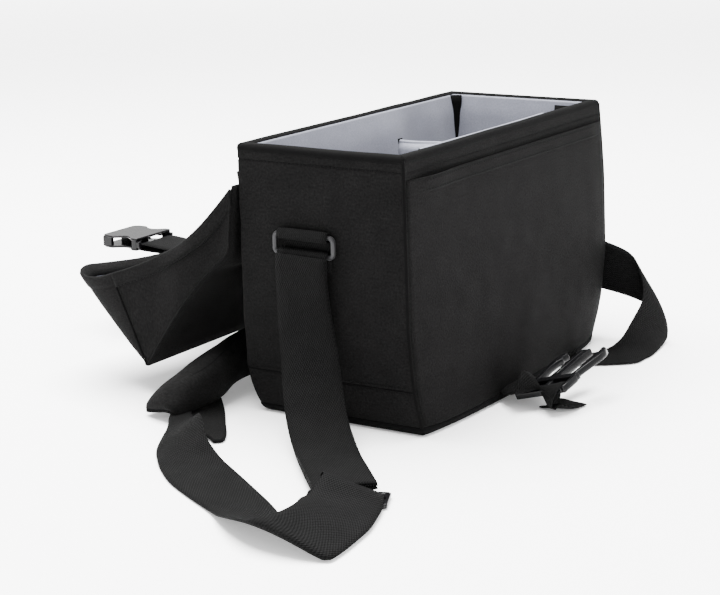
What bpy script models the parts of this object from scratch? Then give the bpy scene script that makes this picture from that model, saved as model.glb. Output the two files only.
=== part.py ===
"""Camera bag with its lid open, a side-release buckle and a shoulder strap.

Dimensions below are in millimetres and are scaled to metres when an object is made. +Z is up,
+X runs along the bag from its near end to its far end, -Y is the side with the slip pocket, and
the lid is hinged on the +Y side. The origin is on the floor under the centre of the bag.
"""

import math

import bmesh
import bpy
from mathutils import Matrix, Vector

MM = 0.001
GAP = 0.3  # clearance between neighbouring pieces

# Bag body
HALF_LENGTH = 142.5
HALF_DEPTH = 64.0
TOP = 185.0
UNDERSIDE = 0.0
BOTTOM = 4.2  # the bottom is thick enough for the strap that lies pressed under it
NYLON = 1.2
FOAM = 7.0
LINING = 1.0
BASE_BOARD = 2.5
BASE_FOAM = 6.0
RIM = 2.7
BOOT_TOP = 33.0
PIPING = NYLON
POCKET_TOP = 170.0
POCKET_HEM = 10.0
POCKET_BULGE = 6.0
POCKET_FLAT_FROM = 102.0  # the closed lid covers the pocket above this height

# Webbing and its metal rings
WEB_WIDTH = 40.0
WEB = 1.8
TAB_Y = 10.0
RING_AXIS_Z = 129.0
RING_AXIS_X = 147.0
RING_DROP = 13.0
RING_SPAN = 46.0
RING_WIRE = 1.7

# Lid, drawn in its open position
HINGE = Vector((66.5, 157.0))  # y, z
STRIP_LENGTH, STRIP_ANGLE = 33.0, -80.0
LID_LENGTH, LID_ANGLE = 134.0, -54.0
FRONT_DEPTH, FRONT_ANGLE = 80.0, 50.0
SKIRT_FRONT, SKIRT_BACK = 72.0, 33.0
SKIRT_X = 144.5
SKIRT_THICKNESS = 3.0
LID_FOAM = 2.7
HEM = 9.0

# Side-release buckle
BUCKLE_WIDTH = 44.0
BUCKLE_THICKNESS = 10.0
FEMALE_LENGTH = 40.0
MALE_REACH = 58.0
MALE_BASE = Vector((-37.0, -113.0, 15.0))
MALE_AXIS = Vector((0.963, -0.117, 0.245)).normalized()
MALE_ACROSS = Vector((-0.19, -0.93, 0.31))
CLOSURE_ROOT = Vector((-20.0, -68.0, 1.4))
LADDER = Vector((-49.0, -108.0, 1.4))

# Strap slide
ADJUSTER = Vector((-257.0, -92.0, 0.0))
ADJUSTER_TURN = -66.0
ADJUSTER_WIDTH = 50.0
ADJUSTER_LENGTH = 28.0

# Compartment
DIVIDER_X = 43.0
DIVIDER_THICKNESS = 8.0
DIVIDER_TOP = 161.0

ORIGIN = Vector((0.0, 0.0, 0.0))


# Materials


def make_material(name, colour, roughness, metallic=0.0):
    material = bpy.data.materials.new(name)
    material.use_nodes = True
    shader = material.node_tree.nodes["Principled BSDF"]
    shader.inputs["Base Color"].default_value = (*colour, 1.0)
    shader.inputs["Roughness"].default_value = roughness
    shader.inputs["Metallic"].default_value = metallic
    material.diffuse_color = (*colour, 1.0)
    return material


def nylon(name):
    return make_material(name, (0.016, 0.016, 0.018), 0.82)


def binding(name):
    return make_material(name, (0.010, 0.010, 0.011), 0.75)


def webbing(name):
    return make_material(name, (0.014, 0.014, 0.015), 0.70)


def foam(name):
    return make_material(name, (0.10, 0.10, 0.11), 0.95)


def lining(name):
    return make_material(name, (0.42, 0.43, 0.50), 0.60)


def board(name):
    return make_material(name, (0.05, 0.05, 0.05), 0.85)


def gloss_plastic(name):
    return make_material(name, (0.012, 0.012, 0.013), 0.22)


def satin_metal(name):
    return make_material(name, (0.22, 0.22, 0.23), 0.38, 0.9)


# Solids


def add_solid(name, bm, make, pivot=ORIGIN):
    """Turn a bmesh drawn in millimetres into an object whose origin is the pivot."""
    bmesh.ops.remove_doubles(bm, verts=bm.verts, dist=0.001)
    bmesh.ops.recalc_face_normals(bm, faces=bm.faces)
    bmesh.ops.translate(bm, verts=bm.verts, vec=-Vector(pivot))
    bmesh.ops.scale(bm, verts=bm.verts, vec=(MM, MM, MM))
    mesh = bpy.data.meshes.new(name)
    bm.to_mesh(mesh)
    bm.free()
    solid = bpy.data.objects.new(name, mesh)
    solid.location = Vector(pivot) * MM
    mesh.materials.append(make(name))
    bpy.context.scene.collection.objects.link(solid)
    return solid


def slab(name, low, high, make, pivot=ORIGIN, matrix=None, rounding=0.0):
    """A rectangular block between two corners, with its edges rounded if asked."""
    low, high = Vector(low), Vector(high)
    bm = bmesh.new()
    bmesh.ops.create_cube(bm, size=1.0)
    bmesh.ops.scale(bm, verts=bm.verts, vec=high - low)
    bmesh.ops.translate(bm, verts=bm.verts, vec=(low + high) / 2)
    if rounding:
        bmesh.ops.bevel(
            bm, geom=bm.edges[:], offset=rounding, segments=2, profile=0.5, affect="EDGES"
        )
    if matrix:
        bmesh.ops.transform(bm, matrix=matrix, verts=bm.verts)
    return add_solid(name, bm, make, pivot)


def cut(target, cutter):
    """Take the cutter's shape out of an object. The cutter stays as a wire guide."""
    cutter.display_type = "WIRE"
    cutter.hide_render = True
    boolean = target.modifiers.new(cutter.name, "BOOLEAN")
    boolean.operation = "DIFFERENCE"
    boolean.solver = "EXACT"
    boolean.object = cutter


def extrude_outline(bm, outline, place, low, high):
    """Extrude a closed outline: place(a, b, h) gives the point of outline (a, b) at height h."""
    face = bm.faces.new([bm.verts.new(place(a, b, low)) for a, b in outline])
    grown = bmesh.ops.extrude_face_region(bm, geom=[face])
    rise = Vector(place(*outline[0], high)) - Vector(place(*outline[0], low))
    moved = [item for item in grown["geom"] if isinstance(item, bmesh.types.BMVert)]
    bmesh.ops.translate(bm, verts=moved, vec=rise)


def plate_along_x(name, outline, low, high, make, pivot=ORIGIN):
    """A plate whose (y, z) outline is carried along X."""
    bm = bmesh.new()
    extrude_outline(bm, outline, lambda y, z, x: (x, y, z), low, high)
    return add_solid(name, bm, make, pivot)


def plate_along_y(name, outline, low, high, make, pivot=ORIGIN):
    """A plate whose (x, z) outline is carried along Y."""
    bm = bmesh.new()
    extrude_outline(bm, outline, lambda x, z, y: (x, y, z), low, high)
    return add_solid(name, bm, make, pivot)


def window_frame(name, outer, inner, low, high, make, pivot=ORIGIN, matrix=None):
    """A flat frame between two rectangles ((x0, y0), (x1, y1)), from height low to high."""
    bm = bmesh.new()
    loops = []
    for (x0, y0), (x1, y1) in (outer, inner):
        corners = ((x0, y0), (x1, y0), (x1, y1), (x0, y1))
        loops.append([[bm.verts.new((x, y, z)) for x, y in corners] for z in (low, high)])
    (outer_low, outer_high), (inner_low, inner_high) = loops
    pairs = (
        (outer_low, outer_high),
        (inner_low, inner_high),
        (outer_low, inner_low),
        (outer_high, inner_high),
    )
    for first, second in pairs:
        for i in range(4):
            j = (i + 1) % 4
            bm.faces.new((first[i], first[j], second[j], second[i]))
    if matrix:
        bmesh.ops.transform(bm, matrix=matrix, verts=bm.verts)
    return add_solid(name, bm, make, pivot)


def tube_loop(name, points, radius, make, pivot=ORIGIN, sides=10):
    """A round wire swept along a closed loop of points."""
    bm = bmesh.new()
    count = len(points)
    centre = sum(points, Vector()) / count
    plane_normal = (points[0] - centre).cross(points[count // 4] - centre).normalized()
    rings = []
    for i, point in enumerate(points):
        tangent = (points[(i + 1) % count] - points[i - 1]).normalized()
        outward = tangent.cross(plane_normal).normalized()
        ring = []
        for k in range(sides):
            turn = math.tau * k / sides
            offset = outward * math.cos(turn) + plane_normal * math.sin(turn)
            ring.append(bm.verts.new(point + offset * radius))
        rings.append(ring)
    for i in range(count):
        here, after = rings[i], rings[(i + 1) % count]
        for k in range(sides):
            m = (k + 1) % sides
            bm.faces.new((here[k], here[m], after[m], after[k]))
    return add_solid(name, bm, make, pivot)


def lattice(name, xs, ys, rows, heights, matrix, pivot=ORIGIN, make=gloss_plastic):
    """A flat lattice: a # in a row fills the cell between neighbouring xs, row by row along ys."""
    filled = {(i, j) for j, row in enumerate(rows) for i, cell in enumerate(row) if cell == "#"}
    bm = bmesh.new()
    verts = {}

    def corner(i, j, k):
        if (i, j, k) not in verts:
            verts[i, j, k] = bm.verts.new((xs[i], ys[j], heights[k]))
        return verts[i, j, k]

    for i, j in sorted(filled):
        square = ((i, j), (i + 1, j), (i + 1, j + 1), (i, j + 1))
        for k in (0, 1):
            bm.faces.new([corner(*point, k) for point in square])
        neighbours = ((i, j - 1), (i + 1, j), (i, j + 1), (i - 1, j))
        for side, neighbour in enumerate(neighbours):
            if neighbour not in filled:
                a, b = square[side], square[(side + 1) % 4]
                bm.faces.new((corner(*a, 0), corner(*b, 0), corner(*b, 1), corner(*a, 1)))
    bmesh.ops.transform(bm, matrix=matrix, verts=bm.verts)
    return add_solid(name, bm, make, pivot)


def blend_points(values, steps):
    """Catmull-Rom curve through the given vectors, with steps spans between neighbours."""
    result = []
    last = len(values) - 1
    for i in range(last):
        p0, p1 = values[max(i - 1, 0)], values[i]
        p2, p3 = values[i + 1], values[min(i + 2, last)]
        for k in range(steps):
            t = k / steps
            result.append(
                0.5
                * (
                    2 * p1
                    + (p2 - p0) * t
                    + (2 * p0 - 5 * p1 + 4 * p2 - p3) * t * t
                    + (3 * p1 - p0 - 3 * p2 + p3) * t * t * t
                )
            )
    result.append(values[-1])
    return result


def ribbon(name, stations, make=webbing, pivot=ORIGIN, width=WEB_WIDTH, thickness=WEB, steps=4):
    """Flat webbing through stations, each a centre point and the direction across the webbing."""
    centres = blend_points([Vector(centre) for centre, _ in stations], steps)
    acrosses = blend_points([Vector(across).normalized() for _, across in stations], steps)
    bm = bmesh.new()
    sections = []
    for i, centre in enumerate(centres):
        tangent = centres[min(i + 1, len(centres) - 1)] - centres[max(i - 1, 0)]
        across = acrosses[i].normalized()
        across = (across - tangent.normalized() * across.dot(tangent.normalized())).normalized()
        normal = tangent.cross(across).normalized()
        section = []
        for side, face in ((-1, -1), (1, -1), (1, 1), (-1, 1)):
            offset = across * side * width / 2 + normal * face * thickness / 2
            section.append(bm.verts.new(centre + offset))
        sections.append(section)
    for before, after in zip(sections, sections[1:]):
        for k in range(4):
            m = (k + 1) % 4
            bm.faces.new((before[k], before[m], after[m], after[k]))
    bm.faces.new(sections[0])
    bm.faces.new(sections[-1])
    bmesh.ops.triangulate(bm, faces=bm.faces)
    return add_solid(name, bm, make, pivot)


def arc(centre, radius, start, end, steps):
    """Points of an arc about a 2-D centre, angles in degrees."""
    points = []
    for i in range(steps + 1):
        turn = math.radians(start + (end - start) * i / steps)
        points.append((centre[0] + radius * math.cos(turn), centre[1] + radius * math.sin(turn)))
    return points


# The far strap's run on the floor: (centre, direction across), from the pad to the bag's front
UNDER_BAG_RUN = (
    ((-44, 102, 1.25), (0, -1, 0)),
    ((-32, 102, 1.25), (0, -1, 0)),
    ((-4, 84, 1.25), (-0.7, -0.7, 0)),
    ((22, 30, 1.25), (-0.91, -0.41, 0)),
    ((52, -36, 1.25), (-0.91, -0.41, 0)),
    ((82, -92, 2.9), (-0.9, -0.44, 0)),
)

# Bag body

OUTER_X = HALF_LENGTH
PANEL_Y = HALF_DEPTH
FOAM_X = OUTER_X - NYLON - GAP
FOAM_Y = PANEL_Y - NYLON - GAP
LINING_X = FOAM_X - FOAM - GAP
LINING_Y = FOAM_Y - FOAM - GAP
INSIDE_X = LINING_X - LINING
INSIDE_Y = LINING_Y - LINING
WALL_TOP = TOP - RIM - GAP
PANEL_BASE = UNDERSIDE + BOTTOM + GAP
BOARD_TOP = PANEL_BASE + BASE_BOARD
CUSHION_TOP = BOARD_TOP + GAP + BASE_FOAM
FLOOR_TOP = CUSHION_TOP + GAP + LINING
POCKET_FACE = PANEL_Y + GAP


def pocket_bulge(u, z):
    """How far the pocket stands out, for u from 0 to 1 across the front and height z."""
    across = math.sin(math.pi * u) ** 0.5
    fade = min(max((POCKET_FLAT_FROM - z) / 40.0, 0.0), 1.0)
    return POCKET_BULGE * across * fade


def build_front_pocket():
    """The slip pocket: a skin over the whole front that swells away from the wall."""
    low, high = PANEL_BASE, POCKET_TOP - POCKET_HEM - GAP
    reach = OUTER_X - PIPING - GAP
    bm = bmesh.new()
    bmesh.ops.create_grid(bm, x_segments=16, y_segments=10, size=0.5)
    for vert in bm.verts:
        u, v = vert.co.x + 0.5, vert.co.y + 0.5
        z = low + (high - low) * v
        stand = NYLON + pocket_bulge(min(max(u, 0.0), 1.0), z)
        vert.co = Vector((reach * (2 * u - 1), -POCKET_FACE - stand, z))
    grown = bmesh.ops.extrude_face_region(bm, geom=bm.faces[:])
    for vert in grown["geom"]:
        if isinstance(vert, bmesh.types.BMVert):
            vert.co.y = -POCKET_FACE
    add_solid("front_pocket", bm, nylon)
    slab(
        "front_pocket_hem",
        (-reach, -POCKET_FACE - NYLON, high + GAP),
        (reach, -POCKET_FACE, POCKET_TOP),
        nylon,
    )


def build_outer_panels():
    side = OUTER_X - PIPING - GAP
    slab("front_panel", (-side, -PANEL_Y, PANEL_BASE), (side, -PANEL_Y + NYLON, WALL_TOP), nylon)
    slab("back_panel", (-OUTER_X, PANEL_Y - NYLON, PANEL_BASE), (OUTER_X, PANEL_Y, WALL_TOP), nylon)
    front, back = -PANEL_Y + PIPING + GAP, PANEL_Y - NYLON - GAP
    for end, sign in (("near", -1), ("far", 1)):
        x0, x1 = sorted((sign * OUTER_X, sign * (OUTER_X - NYLON)))
        slab(f"{end}_end_panel", (x0, front, BOOT_TOP + GAP), (x1, back, WALL_TOP), nylon)
        slab(f"{end}_end_boot", (x0, front, PANEL_BASE), (x1, back, BOOT_TOP), nylon)
        p0, p1 = sorted((sign * OUTER_X, sign * (OUTER_X - PIPING)))
        slab(
            f"{end}_front_piping",
            (p0, -PANEL_Y, PANEL_BASE),
            (p1, -PANEL_Y + PIPING, WALL_TOP),
            binding,
            rounding=0.5,
        )
    underside = slab(
        "bottom_panel",
        (-FOAM_X, -FOAM_Y, UNDERSIDE),
        (FOAM_X, FOAM_Y, UNDERSIDE + BOTTOM),
        nylon,
    )
    edge = window_frame(
        "bottom_binding",
        ((-OUTER_X, -PANEL_Y), (OUTER_X, PANEL_Y)),
        ((-FOAM_X - GAP, -FOAM_Y - GAP), (FOAM_X + GAP, FOAM_Y + GAP)),
        UNDERSIDE,
        UNDERSIDE + BOTTOM,
        binding,
    )
    hollow = ribbon("strap_groove", UNDER_BAG_RUN, width=WEB_WIDTH + 2.0, thickness=2 * WEB + 1.2)
    cut(underside, hollow)
    cut(edge, hollow)
    window_frame(
        "rim_binding",
        ((-OUTER_X, -PANEL_Y), (OUTER_X, PANEL_Y)),
        ((-INSIDE_X, -INSIDE_Y), (INSIDE_X, INSIDE_Y)),
        TOP - RIM,
        TOP,
        binding,
    )


def build_padding():
    foam_x = LINING_X + GAP
    for wall, sign in (("front", -1), ("back", 1)):
        y0, y1 = sorted((sign * FOAM_Y, sign * (FOAM_Y - FOAM)))
        slab(f"{wall}_foam", (-FOAM_X, y0, PANEL_BASE), (FOAM_X, y1, WALL_TOP), foam)
        y0, y1 = sorted((sign * LINING_Y, sign * INSIDE_Y))
        slab(f"{wall}_lining", (-LINING_X, y0, CUSHION_TOP + GAP), (LINING_X, y1, WALL_TOP), lining)
    for end, sign in (("near", -1), ("far", 1)):
        x0, x1 = sorted((sign * FOAM_X, sign * foam_x))
        slab(f"{end}_end_foam", (x0, -LINING_Y, PANEL_BASE), (x1, LINING_Y, WALL_TOP), foam)
        x0, x1 = sorted((sign * LINING_X, sign * INSIDE_X))
        inner = INSIDE_Y - GAP
        slab(f"{end}_end_lining", (x0, -inner, CUSHION_TOP + GAP), (x1, inner, WALL_TOP), lining)
    slab("base_board", (-LINING_X, -LINING_Y, PANEL_BASE), (LINING_X, LINING_Y, BOARD_TOP), board)
    slab(
        "base_foam",
        (-LINING_X, -LINING_Y, BOARD_TOP + GAP),
        (LINING_X, LINING_Y, CUSHION_TOP),
        foam,
    )
    slab(
        "floor_lining",
        (-INSIDE_X + GAP, -INSIDE_Y + GAP, CUSHION_TOP + GAP),
        (INSIDE_X - GAP, INSIDE_Y - GAP, FLOOR_TOP),
        lining,
    )
    slab(
        "corner_loop_strip",
        (INSIDE_X - 12.0, INSIDE_Y - GAP - 1.0, FLOOR_TOP + GAP),
        (INSIDE_X - GAP, INSIDE_Y - GAP, WALL_TOP),
        binding,
    )


def build_divider():
    """A padded wall across the compartment, held by a hook strip at each end."""
    reach = INSIDE_Y - 3.0
    half = DIVIDER_THICKNESS / 2
    base = FLOOR_TOP + 0.7
    slab(
        "divider",
        (DIVIDER_X - half, -reach, base),
        (DIVIDER_X + half, reach, DIVIDER_TOP),
        lining,
        rounding=1.5,
    )
    for wall, sign in (("front", -1), ("back", 1)):
        y0, y1 = sorted((sign * (reach + GAP), sign * (INSIDE_Y - 0.7)))
        slab(
            f"divider_{wall}_hook",
            (DIVIDER_X - half, y0, base),
            (DIVIDER_X + half, y1, DIVIDER_TOP),
            binding,
        )


# Rings and tabs


def build_ring(end, sign):
    """A rectangular wire ring that hangs by its top bar in a webbing tab."""
    x, z = sign * RING_AXIS_X, RING_AXIS_Z
    pivot = Vector((x, TAB_Y, z))
    half = RING_SPAN / 2
    corner = 3.0
    outline = []
    for cy, cz, start in (
        (half - corner, -corner, 0),
        (-half + corner, -corner, 90),
        (-half + corner, -RING_DROP + corner, 180),
        (half - corner, -RING_DROP + corner, 270),
    ):
        for a, b in arc((cy, cz), corner, start, start + 90, 4):
            outline.append(Vector((x, TAB_Y + a, z + b)))
    tube_loop(f"{end}_ring", outline, RING_WIRE, satin_metal, pivot)

    low, high = TAB_Y - WEB_WIDTH / 2, TAB_Y + WEB_WIDTH / 2
    inner, outer = RING_WIRE + 0.4, RING_WIRE + 0.4 + WEB
    face = sign * (OUTER_X + GAP)
    toward = 0 if sign < 0 else 180
    turn = 180 if sign < 0 else -180
    outside = arc((x, z), outer, toward + turn / 2, toward + turn * 1.5, 8)
    inside = arc((x, z), inner, toward + turn * 1.5, toward + turn / 2, 8)
    tab = [(face, outside[0][1])] + outside + [(face, outside[-1][1])]
    tab += [(face, inside[0][1])] + inside + [(face, inside[-1][1])]
    plate_along_y(f"{end}_tab", tab, low, high, webbing)

    bar_z = z - RING_DROP
    leg_base = bar_z - 10.0
    outside = arc((x, bar_z), outer, 0, 180, 8)
    inside = arc((x, bar_z), inner, 180, 0, 8)
    loop = [(x + outer, leg_base)] + outside + [(x - outer, leg_base)]
    loop += [(x - inner, leg_base)] + inside + [(x + inner, leg_base)]
    plate_along_y(f"{end}_strap_loop", loop, low, high, webbing, pivot)


# Shoulder strap


def build_strap():
    """The near drop, the run on the floor through the pad, and the far run under the bag."""
    ribbon(
        "strap_near_drop",
        (
            ((-151, 9, 100), (0, 1, 0)),
            ((-152, 4, 72), (-0.1, 1, 0)),
            ((-160, -4, 42), (-0.35, 0.93, 0)),
            ((-187, -24, 15), (-0.48, 0.87, 0)),
            ((-225, -60, 7.0), (-0.48, 0.87, 0)),
            ((-252, -84, 5.8), (-0.4, 0.9, 0)),
        ),
    )
    ribbon(
        "strap_floor_run",
        (
            ((-255, -88, 6.2), (-0.4, 0.9, 0)),
            ((-287, -106, 6.6), (-0.15, 0.99, 0)),
            ((-320, -102, 4.4), (0.5, 0.86, 0)),
            ((-318, -70, 3.0), (0.9, 0.4, 0)),
            ((-290, -27, 1.4), (0.86, -0.5, 0)),
            ((-260, 16, 1.4), (0.84, -0.54, 0)),
            ((-227, 58, 1.4), (0.74, -0.67, 0)),
            ((-182, 93, 1.4), (0.25, -0.97, 0)),
            ((-100, 102, 1.4), (0, -1, 0)),
            ((-70, 102, 1.4), (0, -1, 0)),
            ((-52, 102, 1.4), (0, -1, 0)),
        ),
    )
    ribbon(
        "strap_far_run",
        UNDER_BAG_RUN
        + (
            ((101, -115, 13), (-0.5, -0.7, -0.4)),
            ((131, -119, 24), (-0.1, -0.35, -0.95)),
            ((149.5, -98, 42), (0.0, -0.15, -1)),
            ((149, -66, 54), (0, 0.1, -1)),
            ((149, -34, 60), (0, 0.3, -0.95)),
            ((150, -4, 74), (0, 0.7, -0.7)),
            ((151, 9, 92), (0, 1, 0)),
            ((151, 10, 99), (0, 1, 0)),
        ),
    )


def build_adjuster():
    """Three-bar slide under the near webbing."""
    turn = Matrix.Rotation(math.radians(ADJUSTER_TURN), 4, "Z")
    half, bar, slot_half = ADJUSTER_LENGTH / 2, 3.5, 21.5
    along = (-half, -half + bar, -bar / 2, bar / 2, half - bar, half)
    across = (-ADJUSTER_WIDTH / 2, -slot_half, slot_half, ADJUSTER_WIDTH / 2)
    lattice(
        "strap_adjuster",
        across,
        along,
        ("###", "# #", "###", "# #", "###"),
        (GAP, GAP + 3.2),
        Matrix.Translation(ADJUSTER) @ turn,
        ADJUSTER,
    )


def build_pad():
    """The shoulder pad leans on the floor behind the bag, over the strap that runs through it."""
    low = Vector((128.0, 6.0))
    high = Vector((88.0, 36.0))
    along = (high - low).normalized()
    normal = Vector((-along.y, along.x))
    if normal.y < 0:
        normal = -normal
    layers = (("shoulder_pad_base", 0.0, 1.2, nylon), ("shoulder_pad_foam", 1.5, 8.5, foam))
    layers += (("shoulder_pad_cover", 8.8, 10.0, nylon),)
    for name, bottom, top, make in layers:
        outline = [low + normal * bottom, high + normal * bottom]
        outline += [high + normal * top, low + normal * top]
        plate_along_x(name, [(p.x, p.y) for p in outline], -178.0, 62.0, make)


# Lid


def heading(angle):
    return Vector((math.cos(math.radians(angle)), math.sin(math.radians(angle))))


FOLD = HINGE + heading(STRIP_ANGLE) * STRIP_LENGTH
CORNER = FOLD + heading(LID_ANGLE) * LID_LENGTH
LIP = CORNER + heading(FRONT_ANGLE) * FRONT_DEPTH


def strip_outline(start, angle, first, last, bottom, top):
    """Cross-section of a flat layer: first to last along the heading, bottom to top inwards."""
    along, inwards = heading(angle), heading(angle + 90)
    corners = ((first, bottom), (last, bottom), (last, top), (first, top))
    return [tuple(start + along * a + inwards * b) for a, b in corners]


def pivot_at(point):
    return Vector((0.0, point.x, point.y))


def build_lid():
    width = SKIRT_X + SKIRT_THICKNESS
    strip = strip_outline(HINGE, STRIP_ANGLE, 2.4, STRIP_LENGTH - 3.0, -1.0, 1.0)
    plate_along_x("lid_back_strip", strip, -OUTER_X, OUTER_X, nylon, pivot_at(HINGE))

    fold_pivot = pivot_at(FOLD)
    outer = strip_outline(FOLD, LID_ANGLE, 1.0, LID_LENGTH, -2.6, -2.6 + NYLON)
    plate_along_x("lid_top_panel", outer, -width, width, nylon, fold_pivot)
    base = -2.6 + NYLON + GAP
    middle = strip_outline(FOLD, LID_ANGLE, 3.0, LID_LENGTH - 6.0, base, base + LID_FOAM)
    side = SKIRT_X - GAP
    plate_along_x("lid_top_foam", middle, -side, side, foam, fold_pivot)
    base += LID_FOAM + GAP
    inner = strip_outline(FOLD, LID_ANGLE, 3.0, LID_LENGTH - 6.0, base, base + 0.8)
    plate_along_x("lid_top_lining", inner, -side, side, lining, fold_pivot)

    along, inwards = heading(LID_ANGLE), heading(LID_ANGLE + 90)
    depth = -2.6 + NYLON + GAP
    corners = ((2.0, depth), (LID_LENGTH - 1.0, depth), (LID_LENGTH - 1.0, SKIRT_FRONT))
    corners += ((5.0, SKIRT_BACK),)
    skirt = [tuple(FOLD + along * a + inwards * b) for a, b in corners]
    rise = (SKIRT_FRONT - SKIRT_BACK) / (LID_LENGTH - 6.0)
    rim_line = ((LID_LENGTH - 1.0, SKIRT_FRONT), (5.0, SKIRT_BACK))
    band = [(a, b) for a, b in rim_line] + [(5.0, SKIRT_BACK - HEM)]
    band += [(LID_LENGTH - 1.0, SKIRT_FRONT - HEM * (1 + rise * rise) ** 0.5)]
    hem = [tuple(FOLD + along * a + inwards * b) for a, b in band]
    for end, sign in (("near", -1), ("far", 1)):
        x0, x1 = sorted((sign * SKIRT_X, sign * width))
        plate_along_x(f"lid_{end}_skirt", skirt, x0, x1, nylon, fold_pivot)
        x0, x1 = sorted((sign * (width + GAP), sign * (width + 1.5)))
        plate_along_x(f"lid_{end}_hem", hem, x0, x1, nylon, fold_pivot)

    front_pivot = pivot_at(CORNER)
    reach = SKIRT_X - 0.5
    front = strip_outline(CORNER, FRONT_ANGLE, 2.5, FRONT_DEPTH, -1.5, 0.0)
    plate_along_x("lid_front_skirt", front, -reach, reach, nylon, front_pivot)
    front = strip_outline(CORNER, FRONT_ANGLE, 5.0, FRONT_DEPTH - 2.0, GAP, 1.1)
    plate_along_x("lid_front_lining", front, -reach, reach, lining, front_pivot)
    front = strip_outline(
        CORNER, FRONT_ANGLE, FRONT_DEPTH - HEM, FRONT_DEPTH, -1.5 - GAP - 1.0, -1.5 - GAP
    )
    plate_along_x("lid_front_hem", front, -reach, reach, nylon, front_pivot)


# Side-release buckle


def build_female_buckle():
    """Webbing on the lid's lip, and the buckle half with its mouth and side windows."""
    web_y, level = LIP.x + 0.5, LIP.y - 5.0
    bar_y = LIP.x + 53.5
    half = WEB_WIDTH / 2
    slab(
        "lid_buckle_webbing",
        (-half, web_y, level - WEB / 2),
        (half, bar_y - 4.0, level + WEB / 2),
        webbing,
        (0.0, web_y, level),
    )
    half, thick = BUCKLE_WIDTH / 2, BUCKLE_THICKNESS / 2
    mouth = bar_y + FEMALE_LENGTH
    wall = 2.0
    shell = slab(
        "female_buckle",
        (-half, bar_y, level - thick),
        (half, mouth, level + thick),
        gloss_plastic,
        (0.0, bar_y - 2.0, level),
    )
    floor, roof = level - thick + wall, level + thick - wall
    cavity = ((-half + 3.0, bar_y + 8.0, floor), (half - 3.0, mouth + 5.0, roof))
    windows = ((-half - 5.0, bar_y + 10.0, floor), (half + 5.0, bar_y + 27.0, roof))
    cut(shell, slab("buckle_cavity", *cavity, gloss_plastic))
    cut(shell, slab("buckle_windows", *windows, gloss_plastic))


def male_matrix():
    """From the male buckle's own frame: x along it, y across it, z out of its face."""
    across = (MALE_ACROSS - MALE_AXIS * MALE_ACROSS.dot(MALE_AXIS)).normalized()
    face = across.cross(MALE_AXIS).normalized()
    turn = Matrix((MALE_AXIS, -across, face)).transposed().to_4x4()
    return Matrix.Translation(MALE_BASE) @ turn


def build_male_buckle():
    """Ladder frame with a centre guide, and a sprung prong on each side."""
    matrix = male_matrix()
    half, guide = BUCKLE_WIDTH / 2, 4.5
    bar = 3.5
    slot = half - bar
    lattice(
        "male_buckle_frame",
        (-12.0, -12.0 + bar, -bar, 0.0, 5.0, 9.0, MALE_REACH),
        (-half, -slot, -guide, guide, slot, half),
        ("##### ", "# # # ", "# # ##", "# # # ", "##### "),
        (-2.5, 2.5),
        matrix,
        matrix @ Vector((-bar / 2, 0.0, 0.0)),
    )
    root = 9.0 + GAP
    tip = MALE_REACH - 3.0
    for side, sign in (("left", 1), ("right", -1)):
        outline = [(root, 14.0), (root, 19.5), (30.0, 21.5), (44.0, 22.0), (tip, 18.5)]
        outline += [(tip, 15.5), (44.0, 16.5), (30.0, 16.5), (18.0, 14.5)]
        bm = bmesh.new()
        extrude_outline(bm, outline, lambda x, y, z, s=sign: (x, s * y, z), -2.2, 2.2)
        bmesh.ops.transform(bm, matrix=matrix, verts=bm.verts)
        pivot = matrix @ Vector((root, sign * 17.0, 0.0))
        add_solid(f"male_prong_{side}", bm, gloss_plastic, pivot)


def build_closure_webbing():
    """Webbing from under the bag's front edge to the male buckle, with its loose tail."""
    ribbon(
        "closure_webbing",
        (
            ((-20, -68, 1.4), (1, 0, 0)),
            ((-20, -77, 1.4), (1, 0, 0)),
            ((-23, -86, 1.4), (1, -0.2, 0)),
            ((-31, -94, 1.4), (0.8, -0.6, 0)),
        ),
        pivot=CLOSURE_ROOT,
    )
    ribbon(
        "closure_tail",
        (
            ((-40, -124, 1.4), (0.1, -1, 0)),
            ((-20, -126, 1.4), (0.1, -1, 0)),
            ((-2, -128, 1.4), (0.1, -1, 0)),
        ),
        pivot=LADDER,
        width=20.0,
    )


for item in list(bpy.data.objects):
    bpy.data.objects.remove(item)
build_outer_panels()
build_front_pocket()
build_padding()
build_divider()
build_ring("near", -1)
build_ring("far", 1)
build_strap()
build_adjuster()
build_pad()
build_lid()
build_female_buckle()
build_male_buckle()
build_closure_webbing()
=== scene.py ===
import math

import bpy
import numpy as np
from mathutils import Matrix, Vector, noise


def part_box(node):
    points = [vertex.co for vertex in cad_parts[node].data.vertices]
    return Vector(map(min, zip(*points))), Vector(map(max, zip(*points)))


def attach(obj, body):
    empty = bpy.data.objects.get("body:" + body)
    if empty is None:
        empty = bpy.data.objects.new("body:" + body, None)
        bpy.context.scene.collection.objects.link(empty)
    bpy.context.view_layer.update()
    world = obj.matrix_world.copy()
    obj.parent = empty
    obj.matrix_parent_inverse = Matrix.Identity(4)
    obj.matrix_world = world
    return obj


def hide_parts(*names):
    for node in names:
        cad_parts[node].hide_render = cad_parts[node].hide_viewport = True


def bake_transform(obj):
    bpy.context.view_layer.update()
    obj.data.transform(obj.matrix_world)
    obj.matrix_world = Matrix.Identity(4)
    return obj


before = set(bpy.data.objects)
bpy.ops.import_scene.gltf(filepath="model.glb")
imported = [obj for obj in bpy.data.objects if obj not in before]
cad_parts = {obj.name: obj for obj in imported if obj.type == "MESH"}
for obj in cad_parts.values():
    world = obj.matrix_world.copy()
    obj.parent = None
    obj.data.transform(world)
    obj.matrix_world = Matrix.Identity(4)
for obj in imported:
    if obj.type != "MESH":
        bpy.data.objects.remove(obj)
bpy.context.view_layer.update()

# Everything below is drawn in millimetres in the part's own frame and scaled on the way into a mesh.
MM = 0.001
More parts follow.
